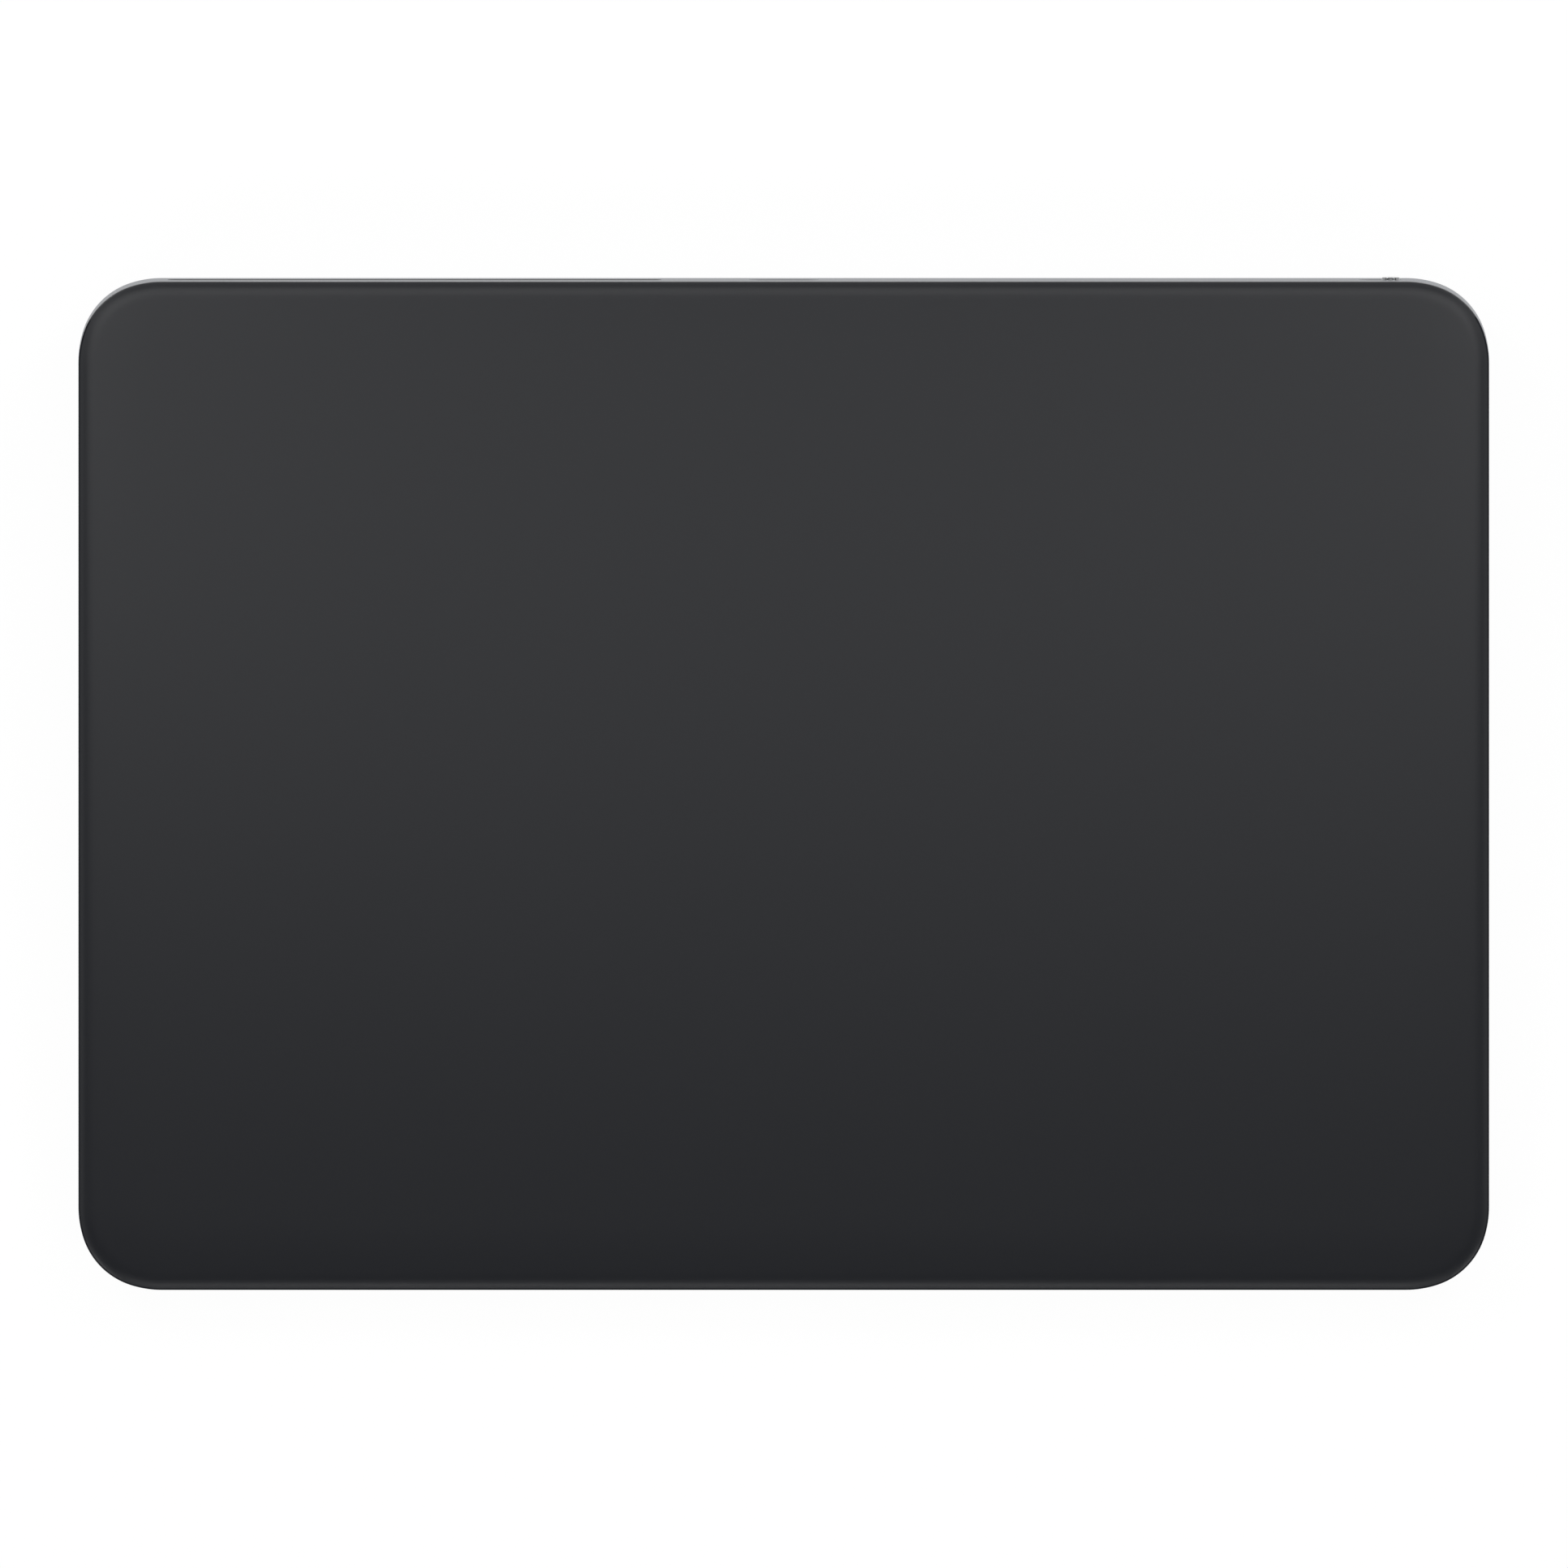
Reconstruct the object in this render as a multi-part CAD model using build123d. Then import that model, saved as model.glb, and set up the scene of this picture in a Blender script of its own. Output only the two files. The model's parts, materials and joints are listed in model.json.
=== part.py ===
from build123d import *

import os
from math import asin, cos, radians, sin

# A low, wedge-shaped desk trackpad. A sheet of black glass covers the whole top and floats on four
# steel force beams inside a shallow machined aluminium case, thick at the back and thin at the front.
# The back wall holds a plastic aerial window, a charging port and a small sliding power switch.
#
# Millimetres. The desk is z = 0, x runs to the right and y to the back, and the origin is on the desk
# under the middle of the footprint. Pieces that lie square to the glass are drawn in deck
# coordinates: x to the right, y along the glass to the back, z out of the glass, with zero at the
# centre of its top face. A depth is a distance below that face, square to it.

# Whole body
deck_width = 160.0
deck_length = 114.5
rear_height = 10.9
front_height = 4.9
corner_lead_radius = 11.5
corner_tip_radius = 8.3
corner_lead_angle = 18.0
cut_overrun = 1.0

# Case
wall = 1.6
case_floor_thickness = 1.0
bottom_edge_radius = 1.5
mouth_chamfer = 0.12

# Feet
foot_height = 0.7
foot_radius = 6.0
foot_recess = 0.3
foot_recess_gap = 0.1
foot_edge_radius = 0.25
foot_tape_thickness = 0.1
foot_tape_inset = 0.4
foot_side_inset = 15.0
foot_end_inset = 13.5

# Touch deck
glass_thickness = 0.8
glass_roll_width = 1.3
glass_roll_drop = 0.25
glass_roll_radius = 6.0
glass_edge_radius = 0.2
glass_back_chamfer = 0.1
rim_gap = 0.35
seal_edge_inset = 0.25
seal_overhang = 0.1
bond_thickness = 0.1
touch_board_thickness = 0.4
stiffener_thickness = 0.5
deck_side_gap = 0.5
stiffener_inset = 0.6
press_travel = 0.2
touch_chip_size = 9.0
touch_chip_thickness = 0.8
touch_chip_pitch = 30.0
touch_chip_y = 22.0
chip_window_gap = 1.0

# Force beams, their pads and strain gauges
gel_thickness = 0.5
gel_radius = 3.4
carrier_thickness = 0.1
carrier_radius = 3.7
beam_thickness = 0.4
beam_tip_radius = 4.0
beam_arm_width = 5.0
beam_root_width = 9.0
beam_root_length = 7.0
beam_reach = 14.0
beam_side_inset = 16.0
beam_end_inset = 15.0
beam_screw_spacing = 5.6
gauge_width = 2.6
gauge_length = 3.2
gauge_thickness = 0.06
gauge_flex_width = 2.0
gauge_flex_thickness = 0.1

# Screws
screw_head_radius = 0.95
screw_head_height = 0.25
screw_shank_radius = 0.5
screw_grip = 1.0
screw_hole_gap = 0.1
screw_drive_radius = 0.4
screw_drive_depth = 0.12
thread_gap = 0.02
bore_end_gap = 0.1

# Haptic actuator
haptic_centre_y = -8.0
haptic_plate_width = 44.0
haptic_plate_depth = 25.0
haptic_plate_thickness = 0.4
haptic_boss_height = 0.5
haptic_boss_size = 4.0
haptic_hole_inset = 2.0
haptic_headroom = 0.25
core_length = 12.0
core_back_width = 2.0
leg_width = 3.0
leg_end_inset = 7.5
coil_build = 0.45
coil_fit_gap = 0.05
coil_back_gap = 0.5
coil_pole_gap = 3.0
coil_window_gap = 0.4
pole_gap = 0.5
pole_bar_thickness = 1.6
pole_bar_floor_gap = 0.4

# Battery
bay_gap = 1.5
battery_side_gap = 4.5
battery_swell_gap = 0.4
battery_corner_radius = 2.0
battery_edge_radius = 0.8
battery_tape_thickness = 0.1
battery_tape_inset = 1.0
guard_board_width = 4.0
guard_board_gap = 0.5
guard_board_thickness = 0.8
guard_board_end_gap = 3.0
battery_lead_width = 3.0
battery_lead_thickness = 0.2
battery_lead_grip = 2.5
battery_lead_bend = 0.8

# Logic board and what stands on it
board_width = 12.1
board_thickness = 0.8
board_side_gap = 0.5
board_screw_inset = 2.2
board_screw_saddle_gap = 1.5
board_post_size = 4.0
shield_screw_gap = 5.2
shield_length = 26.0
shield_front_gap = 0.5
shield_rear_inset = 1.2
shield_height = 1.7
shield_wall = 0.2
board_chip_height = 1.0
board_chip_gap = 1.2
board_chip_count = 3
connector_height = 0.8
connector_depth = 3.0
connector_edge_inset = 0.3
touch_connector_length = 12.0
battery_connector_length = 4.4
haptic_connector_length = 3.4

# Charging port
port_axis_depth = 4.92
port_mouth_width = 7.73
port_mouth_height = 2.3
port_lip = 0.2
port_shell_wall = 0.5
port_shell_length = 6.8
port_wall_gap = 0.1
port_back_thickness = 1.4
port_bed_thickness = 0.3
port_contact_count = 8
port_contact_pitch = 0.72
port_contact_width = 0.38
port_contact_length = 3.6
port_contact_height = 0.18
saddle_thickness = 0.3
saddle_gap = 0.05
saddle_depth = 4.0
saddle_ear_length = 2.8
saddle_rear_gap = 1.2

# Power switch
knob_side_inset = 11.17
knob_radius = 1.0
knob_stand = 0.27
knob_edge_radius = 0.08
slot_gap = 0.1
switch_travel = 2.4
carriage_wall_gap = 0.35
carriage_thickness = 0.5
carriage_board_gap = 0.05
carriage_cover = 0.2
flag_thickness = 0.15
flag_knob_gap = 0.05
stem_size = 1.2
stem_length = 2.2
stem_gap = 0.1
switch_housing_gap = 0.1
switch_housing_depth = 3.6
switch_housing_rim = 2.4
wiper_thickness = 0.1
terminal_thickness = 0.1
terminal_pitch = 1.2
terminal_length = 0.8
terminal_width = 1.2

# Aerial behind the back wall
window_side_inset = 10.1
window_port_gap = 10.0
window_height = 1.92
window_flange_lip = 0.7
window_flange_thickness = 0.5
aerial_carrier_depth = 2.4
aerial_carrier_height = 3.2
aerial_foil_thickness = 0.1
aerial_foil_inset = 0.4
aerial_foil_corner_inset = 3.2
aerial_lead_height = 1.4
aerial_lead_thickness = 0.12
aerial_foil_lap = 5.0
aerial_board_lap = 2.0

# Ribbon cables
touch_flex_thickness = 0.15
touch_flex_width = 11.0
touch_flex_lap = 4.5
touch_flex_window_gap = 0.7
haptic_flex_width = 2.5
haptic_flex_thickness = 0.12
haptic_flex_gap = 1.0
haptic_flex_overlap = 3.0

# Where the deck lies
tilt = asin((rear_height - front_height) / deck_length)
foot_and_edge = foot_height + bottom_edge_radius
lean_at_edge = (foot_and_edge - rear_height) * sin(tilt)
rear_reach = bottom_edge_radius - (bottom_edge_radius + lean_at_edge) / cos(tilt)
deck_y = -rear_reach / 2
deck_z = (rear_height + front_height) / 2
DECK = Plane(origin=(0, deck_y, deck_z), x_dir=(1, 0, 0), z_dir=(0, -sin(tilt), cos(tilt)))

# Levels above the desk, and depths below the glass
case_floor = foot_height + case_floor_thickness
case_top_depth = glass_thickness + rim_gap
touch_board_depth = glass_thickness + bond_thickness
stiffener_depth = touch_board_depth + touch_board_thickness
stack_depth = stiffener_depth + stiffener_thickness
carrier_depth = stack_depth + gel_thickness
beam_depth = carrier_depth + carrier_thickness
beam_back_depth = beam_depth + beam_thickness
port_shell_height = port_mouth_height + 2 * (port_shell_wall - port_lip)
port_shell_width = port_mouth_width + 2 * (port_shell_wall - port_lip)
board_depth = port_axis_depth + port_shell_height / 2
board_back_depth = board_depth + board_thickness
connector_depth_top = board_depth - connector_height

# Places along the deck
inner_rear = deck_length / 2 - wall
beam_x = deck_width / 2 - beam_side_inset
beam_tip_y = deck_length / 2 - beam_end_inset
beam_root_y = beam_tip_y - beam_reach
board_rear = inner_rear - board_side_gap
board_front = board_rear - board_width
board_right = deck_width / 2 - wall - board_side_gap
knob_x = deck_width / 2 - knob_side_inset
slot_length = 2 * (knob_radius + slot_gap) + switch_travel
slot_height = 2 * (knob_radius + slot_gap)
slot_x = knob_x - switch_travel / 2
window_left = window_side_inset - deck_width / 2
window_right = -port_mouth_width / 2 - window_port_gap
window_length = window_right - window_left
window_x = (window_left + window_right) / 2
saddle_half = port_shell_width / 2 + saddle_gap + saddle_thickness + saddle_ear_length
board_screw_x = saddle_half + board_screw_saddle_gap
board_left = -board_screw_x - board_screw_inset
SIDES = {"left": -1, "right": 1}
ENDS = {"front": -1, "rear": 1}


def block(x_span, y_span, z_span):
    """A box between two x, two y and two z values."""
    spans = (x_span, y_span, z_span)
    sizes = [high - low for low, high in spans]
    middles = [(low + high) / 2 for low, high in spans]
    return Pos(*middles) * Box(*sizes)


def square_span(x, y, size):
    """The x and y spans of a square round a point."""
    half = size / 2
    return (x - half, x + half), (y - half, y + half)


def disc(x, y, top, radius, thickness):
    """An upright cylinder that hangs down from its top face."""
    return Pos(x, y, top - thickness / 2) * Cylinder(radius, thickness)


def on_deck(shape):
    """Moves a shape from deck coordinates to its place over the desk."""
    return DECK.location * shape


def depth_at(level, y):
    """The depth below the glass, at deck position y, of a level above the desk."""
    return (deck_z + y * sin(tilt) - level) / cos(tilt)


def level_at(depth, desk_y):
    """The level above the desk, over desk position desk_y, of a depth below the glass."""
    along = (desk_y - deck_y - depth * sin(tilt)) / cos(tilt)
    return deck_z + along * sin(tilt) - depth * cos(tilt)


def desk_point(y, depth):
    """The desk position and the level of a point given by its deck position and its depth."""
    return (deck_y + y * cos(tilt) + depth * sin(tilt), deck_z + y * sin(tilt) - depth * cos(tilt))


def deck_face(inset):
    """The outline of the body seen square to the glass, drawn in by inset.

    Each corner turns in three arcs, wide at both ends and tighter in the middle, so that the straight
    sides run softly into it.
    """
    half_width = deck_width / 2 - inset
    half_length = deck_length / 2 - inset
    lead = corner_lead_radius - inset
    tip = corner_tip_radius - inset
    turn = radians(corner_lead_angle)
    reach = lead - (lead - tip) * (cos(turn) - sin(turn))
    centre = lead - (lead - tip) * cos(turn)
    edges = []
    for quarter, (sx, sy) in enumerate([(1, 1), (-1, 1), (-1, -1), (1, -1)]):
        beside = (sx * (half_width - lead), sy * (half_length - reach))
        behind = (sx * (half_width - reach), sy * (half_length - lead))
        first, last = (behind, beside) if quarter % 2 else (beside, behind)
        middle = (sx * (half_width - centre), sy * (half_length - centre))
        start = 90 * quarter
        inner_turn = 90 - 2 * corner_lead_angle
        edges.append(CenterArc(first, lead, start, corner_lead_angle))
        edges.append(CenterArc(middle, tip, start + corner_lead_angle, inner_turn))
        edges.append(CenterArc(last, lead, start + 90 - corner_lead_angle, corner_lead_angle))
    sides = [Line(edges[3 * n - 1] @ 1, edges[3 * n] @ 0) for n in range(4)]
    return make_face(edges + sides)


def plate(face, depth, thickness):
    """A sheet of a given outline that starts at a depth below the glass."""
    return extrude(Pos(0, 0, -depth) * face, amount=thickness, dir=(0, 0, -1))


def deck_block(x_span, y_span, depth_span):
    """A box in deck coordinates, with depths in place of z."""
    return block(x_span, y_span, (-depth_span[1], -depth_span[0]))


def above(level):
    """Everything over the body's footprint above a level."""
    return block((-deck_width, deck_width), (-deck_length, deck_length), (level, level + deck_length))


def pill(length, height, x, depth, y_span):
    """A bar of pill-shaped section that runs along the deck's y."""
    mouth = Plane(origin=(x, y_span[1], -depth), x_dir=(1, 0, 0), z_dir=(0, -1, 0))
    return extrude(mouth * SlotOverall(length, height), amount=y_span[1] - y_span[0])


def pin(radius, x, depth, y_span):
    """A round bar that runs along the deck's y."""
    mouth = Plane(origin=(x, y_span[1], -depth), x_dir=(1, 0, 0), z_dir=(0, -1, 0))
    return extrude(mouth * Circle(radius), amount=y_span[1] - y_span[0])


def ribbon(lines, x_span, thickness):
    """A flat cable of a given width that follows lines drawn in the y and z plane."""
    strip = Plane.YZ * trace(lines, line_width=thickness)
    return Pos(x_span[0], 0, 0) * extrude(strip, amount=x_span[1] - x_span[0], dir=(1, 0, 0))


def screws(spots, seat_depth, through):
    """Small screws seated at a depth, through a piece and then gripping below it."""
    row = []
    for x, y in spots:
        head = disc(x, y, screw_head_height - seat_depth, screw_head_radius, screw_head_height)
        shank = disc(x, y, -seat_depth, screw_shank_radius, through + screw_grip)
        drive = disc(x, y, screw_head_height - seat_depth, screw_drive_radius, screw_drive_depth)
        row.append(head + shank - drive)
    return row


def screw_bore(x, y, depth):
    """The blind hole that a screw grips in, opening at a depth."""
    length = cut_overrun + screw_grip + bore_end_gap
    return disc(x, y, cut_overrun - depth, screw_shank_radius + thread_gap, length)


def screw_hole(x, y, depth):
    """A cutter for the hole that lets a screw through a thin piece near a depth."""
    return disc(x, y, cut_overrun - depth, screw_shank_radius + screw_hole_gap, 2 * cut_overrun)


# Force beams


def beam_places():
    """The name, the side and the end of each force beam."""
    return [(f"{end}_{side}", SIDES[side], ENDS[end]) for end in ENDS for side in SIDES]


def beam_screw_spots():
    """The deck places of the two screws in each beam root."""
    half = beam_screw_spacing / 2
    roots = [(sx * beam_x, sy * beam_root_y) for _, sx, sy in beam_places()]
    return [(x + offset, y) for x, y in roots for offset in (-half, half)]


def force_beam(sx, sy):
    """A flat steel tongue: a screwed root, a narrow arm that bends and a round tip under its pad."""
    arm = Pos(sx * beam_x, sy * (beam_tip_y - beam_reach / 2)) * Rectangle(beam_arm_width, beam_reach)
    tip = Pos(sx * beam_x, sy * beam_tip_y) * Circle(beam_tip_radius)
    root = Pos(sx * beam_x, sy * beam_root_y) * Rectangle(beam_root_width, beam_root_length)
    tongue = plate(arm + tip + root, beam_depth, beam_thickness)
    return tongue - [screw_hole(x, y, beam_depth) for x, y in beam_screw_spots()]


def tip_discs(depth, radius, thickness):
    """A disc over each beam's tip, hanging down from a depth."""
    return [disc(sx * beam_x, sy * beam_tip_y, -depth, radius, thickness) for _, sx, sy in beam_places()]


def gauge_span(sy):
    """The deck y values between which a strain gauge lies, just outside a beam's root."""
    root_edge = beam_root_y + beam_root_length / 2
    return sorted((sy * root_edge, sy * (root_edge + gauge_length)))


def strain_gauges():
    """A foil gauge bonded on the arm of each beam, where it bends most."""
    half = gauge_width / 2
    top = beam_depth - gauge_thickness
    return [
        deck_block((sx * beam_x - half, sx * beam_x + half), gauge_span(sy), (top, beam_depth))
        for _, sx, sy in beam_places()
    ]


def gauge_flex(sx):
    """A thin ribbon from the front gauge, down the boss, along the floor and up to the rear gauge."""
    half = gauge_flex_thickness / 2
    root_in = beam_root_y - beam_root_length / 2 - gauge_flex_thickness
    root_out = beam_root_y + beam_root_length / 2
    top = half - beam_depth
    lift = half / cos(tilt)
    points = [
        (-root_out, top),
        (-root_in, top),
        (-root_in, lift - depth_at(case_floor, -root_in)),
        (root_in, lift - depth_at(case_floor, root_in)),
        (root_in, top),
        (root_out, top),
    ]
    middle = sx * beam_x
    span = (middle - gauge_flex_width / 2, middle + gauge_flex_width / 2)
    return ribbon(Polyline(*points), span, gauge_flex_thickness)


# Case


def haptic_screw_spots():
    """The desk places of the four screws that hold the haptic plate."""
    x = haptic_plate_width / 2 - haptic_hole_inset
    y = haptic_plate_depth / 2 - haptic_hole_inset
    return [(sx * x, haptic_centre_y + sy * y) for sx in (-1, 1) for sy in (-1, 1)]


def board_screw_spots():
    """The deck places of the four screws that hold the logic board."""
    front = board_front + board_screw_inset
    rear = board_rear - board_screw_inset
    right = board_right - board_screw_inset
    return [(-board_screw_x, front), (board_screw_x, front), (board_screw_x, rear), (right, front)]


def saddle_screw_spots():
    """The deck places of the two screws that hold the port's saddle, and the board under it."""
    y = port_rear - saddle_rear_gap - saddle_depth / 2
    x = saddle_half - saddle_ear_length / 2
    return [(-x, y), (x, y)]


def foot_places():
    """The name and the desk place of each foot."""
    x = deck_width / 2 - foot_side_inset
    y = deck_length / 2 - foot_end_inset
    return [(f"{end}_{side}", SIDES[side] * x, ENDS[end] * y) for end in ENDS for side in SIDES]


def body_room(inset, top_depth, bottom_level):
    """The room inside the drawn-in outline, between a depth below the glass and a level above the desk."""
    return on_deck(plate(deck_face(inset), top_depth, 2 * rear_height)) & above(bottom_level)


def case_posts():
    """The bosses that stand on the floor of the case, sunk halfway into it."""
    posts = []
    for _, sx, sy in beam_places():
        x_span = (sx * beam_x - beam_root_width / 2, sx * beam_x + beam_root_width / 2)
        y_span = (sy * beam_root_y - beam_root_length / 2, sy * beam_root_y + beam_root_length / 2)
        posts.append(on_deck(deck_block(x_span, y_span, (beam_back_depth, 2 * rear_height))))
    for x, y in board_screw_spots() + saddle_screw_spots():
        span = (board_back_depth, 2 * rear_height)
        posts.append(on_deck(deck_block(*square_span(x, y, board_post_size), span)))
    for x, y in haptic_screw_spots():
        posts.append(block(*square_span(x, y, haptic_boss_size), (0, case_floor + haptic_boss_height)))
    room = above(case_floor - case_floor_thickness / 2)
    return [post & room for post in posts]


def case_bores():
    """The blind screw holes in the bosses."""
    bores = [on_deck(screw_bore(x, y, beam_back_depth)) for x, y in beam_screw_spots()]
    board_spots = board_screw_spots() + saddle_screw_spots()
    bores += [on_deck(screw_bore(x, y, board_back_depth)) for x, y in board_spots]
    boss_top = case_floor + haptic_boss_height
    bores += [screw_bore(x, y, -boss_top) for x, y in haptic_screw_spots()]
    return bores


def rear_openings():
    """The three pill-shaped mouths in the back wall, the last two with a fine chamfer outside."""
    through = (inner_rear - cut_overrun, deck_length / 2 + cut_overrun)
    cuts = [pill(window_length, window_height, window_x, port_axis_depth, through)]
    mouths = [(port_mouth_width, port_mouth_height, 0), (slot_length, slot_height, slot_x)]
    for length, height, x in mouths:
        cuts.append(pill(length, height, x, port_axis_depth, through))
        face = Plane(origin=(x, deck_length / 2, -port_axis_depth), x_dir=(1, 0, 0), z_dir=(0, -1, 0))
        rim = face * SlotOverall(length + 2 * mouth_chamfer, height + 2 * mouth_chamfer)
        cuts.append(extrude(rim, amount=mouth_chamfer, taper=45))
    return [on_deck(cut) for cut in cuts]


def base_case():
    """The machined tub: thin floor, thin walls square to the glass, bosses, mouths and foot recesses."""
    tub = body_room(0, case_top_depth, foot_height)
    tub = fillet(tub.faces().sort_by(Axis.Z)[0].edges(), bottom_edge_radius)
    tub -= body_room(wall, case_top_depth - cut_overrun, case_floor)
    tub += case_posts()
    recess_radius = foot_radius + foot_recess_gap
    recesses = [
        disc(x, y, foot_height + foot_recess, recess_radius, foot_recess + cut_overrun)
        for _, x, y in foot_places()
    ]
    return tub - (case_bores() + rear_openings() + recesses)


# Touch deck


def glass_plate():
    """The touch surface: one black glass sheet, edge to edge, whose rim rolls gently down all round."""
    sheet = plate(deck_face(0), 0, glass_thickness)
    top = sheet.faces().sort_by(Axis.Z)[-1]
    sheet = chamfer(top.edges(), glass_roll_width, glass_roll_drop, reference=top)
    nose = sheet.edges().group_by(Axis.Z)[-3]
    sheet = fillet(nose, glass_edge_radius)
    shoulder = sheet.faces().sort_by(Axis.Z)[-1].edges()
    sheet = fillet(shoulder, glass_roll_radius)
    return chamfer(sheet.faces().sort_by(Axis.Z)[0].edges(), glass_back_chamfer)


def rim_seal():
    """The black foam ring between the glass and the top of the case walls."""
    return plate(deck_face(seal_edge_inset) - deck_face(wall + seal_overhang), glass_thickness, rim_gap)


def touch_chip_spots():
    """The deck places of the touch controller and its two drivers."""
    return [(n * touch_chip_pitch, touch_chip_y) for n in (-1, 0, 1)]


def touch_chips():
    """The three chips on the back of the sensor board."""
    span = (stiffener_depth, stiffener_depth + touch_chip_thickness)
    return [deck_block(*square_span(x, y, touch_chip_size), span) for x, y in touch_chip_spots()]


def touch_flex_spans():
    """Where the touch ribbon lies: its x span and the y at which it turns back."""
    half = touch_flex_width / 2
    return (-half, half), board_front + connector_edge_inset + connector_depth / 2


def touch_flex_radius():
    """The radius of the ribbon's turn, from the sensor board down to its connector."""
    top = stiffener_depth + touch_flex_thickness / 2
    bottom = connector_depth_top - touch_flex_thickness / 2
    return (bottom - top) / 2


def stiffener_plate():
    """The steel plate that backs the sensor board, cut out for the chips and the touch ribbon."""
    inset = wall + deck_side_gap + stiffener_inset
    sheet = plate(deck_face(inset), stiffener_depth, stiffener_thickness)
    cut = (stiffener_depth - cut_overrun, stack_depth + cut_overrun)
    for x, y in touch_chip_spots():
        sheet -= deck_block(*square_span(x, y, touch_chip_size + 2 * chip_window_gap), cut)
    x_span, turn_y = touch_flex_spans()
    gap = touch_flex_window_gap
    front = turn_y - touch_flex_lap - gap
    rear = turn_y + touch_flex_radius() + touch_flex_thickness + gap
    return sheet - deck_block((x_span[0] - gap, x_span[1] + gap), (front, rear), cut)


def touch_flex():
    """The loose ribbon that drops from the sensor board in a half turn to the logic board."""
    x_span, turn_y = touch_flex_spans()
    radius = touch_flex_radius()
    top = -(stiffener_depth + touch_flex_thickness / 2)
    bottom = top - 2 * radius
    lap = Line((turn_y - touch_flex_lap, top), (turn_y, top))
    turn = ThreePointArc((turn_y, top), (turn_y + radius, top - radius), (turn_y, bottom))
    tail = Line((turn_y, bottom), (turn_y - connector_depth / 2, bottom))
    return ribbon([lap, turn, tail], x_span, touch_flex_thickness)


# Haptic actuator


leg_offset = haptic_plate_depth / 2 - leg_end_inset
core_half_depth = leg_offset + leg_width / 2
haptic_front_y = haptic_centre_y - core_half_depth - coil_build - coil_fit_gap
core_bottom = case_floor + haptic_boss_height + haptic_plate_thickness
coil_top = level_at(stack_depth, haptic_front_y) - press_travel - haptic_headroom
leg_thickness = coil_top - coil_build - coil_fit_gap - core_bottom
pole_x = haptic_plate_width / 2
core_back = pole_x - core_length
leg_root = core_back + core_back_width
coil_near = leg_root + coil_back_gap
coil_far = pole_x - coil_pole_gap


def leg_centres():
    """The side and the desk y of each of the four legs."""
    return [(sx, haptic_centre_y + sy * leg_offset) for sx in (-1, 1) for sy in (-1, 1)]


def side_span(sx, near, far):
    """An x span given outward from the middle, on one side."""
    return tuple(sorted((sx * near, sx * far)))


def haptic_plate():
    """The steel plate that carries both cores, with a window round each coil."""
    half_width = haptic_plate_width / 2
    half_depth = haptic_plate_depth / 2
    z_span = (case_floor + haptic_boss_height, core_bottom)
    y_span = (haptic_centre_y - half_depth, haptic_centre_y + half_depth)
    sheet = block((-half_width, half_width), y_span, z_span)
    half = leg_width / 2 + coil_fit_gap + coil_build + coil_window_gap
    near = coil_near - coil_window_gap
    far = coil_far + coil_window_gap
    for sx, y in leg_centres():
        sheet -= block(side_span(sx, near, far), (y - half, y + half), (0, core_bottom + cut_overrun))
    return sheet - [screw_hole(x, y, -core_bottom) for x, y in haptic_screw_spots()]


def haptic_cores():
    """Two laminated iron cores, each a back bar with two legs that point outward."""
    z_span = (core_bottom, core_bottom + leg_thickness)
    back_y = (haptic_centre_y - core_half_depth, haptic_centre_y + core_half_depth)
    cores = []
    for side in (-1, 1):
        core = block(side_span(side, core_back, leg_root), back_y, z_span)
        for sx, y in leg_centres():
            if sx == side:
                y_span = (y - leg_width / 2, y + leg_width / 2)
                core += block(side_span(sx, leg_root, pole_x), y_span, z_span)
        cores.append(core)
    return cores


def haptic_coils():
    """A copper winding round each leg."""
    coils = []
    for sx, y in leg_centres():
        inner = leg_width / 2 + coil_fit_gap
        outer = inner + coil_build
        x_span = side_span(sx, coil_near, coil_far)
        low = core_bottom - coil_fit_gap
        high = core_bottom + leg_thickness + coil_fit_gap
        winding = block(x_span, (y - outer, y + outer), (low - coil_build, high + coil_build))
        coils.append(winding - block(x_span, (y - inner, y + inner), (low, high)))
    return coils


def pole_bars():
    """The two iron bars on the stiffener that the cores pull, one outside each pair of poles."""
    along = (haptic_centre_y - deck_y - stack_depth * sin(tilt)) / cos(tilt)
    y_span = (along - core_half_depth, along + core_half_depth)
    depths = (stack_depth, depth_at(core_bottom + pole_bar_floor_gap, y_span[0]))
    near = pole_x + pole_gap
    return [deck_block(side_span(sx, near, near + pole_bar_thickness), y_span, depths) for sx in (-1, 1)]


# Battery


bay_front = haptic_centre_y + haptic_plate_depth / 2 + bay_gap
bay_rear = desk_point(board_front, board_depth)[0] - bay_gap
bay_half_width = beam_x - beam_root_width / 2 - battery_side_gap
battery_bottom = case_floor + battery_tape_thickness
battery_top = level_at(stack_depth, bay_front) - press_travel - battery_swell_gap
battery_right = bay_half_width - guard_board_width - guard_board_gap


def battery_cell():
    """The flat pouch cell."""
    cell = block((-bay_half_width, battery_right), (bay_front, bay_rear), (battery_bottom, battery_top))
    cell = fillet(cell.edges().filter_by(Axis.Z), battery_corner_radius)
    return fillet(cell.faces().sort_by(Axis.Z)[-1].edges(), battery_edge_radius)


def battery_tape():
    """The adhesive sheet under the cell and its protection board."""
    x_span = (battery_tape_inset - bay_half_width, bay_half_width)
    y_span = (bay_front + battery_tape_inset, bay_rear - battery_tape_inset)
    return block(x_span, y_span, (case_floor, battery_bottom))


def guard_board():
    """The battery's protection board, beside the cell."""
    y_span = (bay_front + guard_board_end_gap, bay_rear - guard_board_end_gap)
    z_span = (battery_bottom, battery_bottom + guard_board_thickness)
    return block((bay_half_width - guard_board_width, bay_half_width), y_span, z_span)


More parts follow.
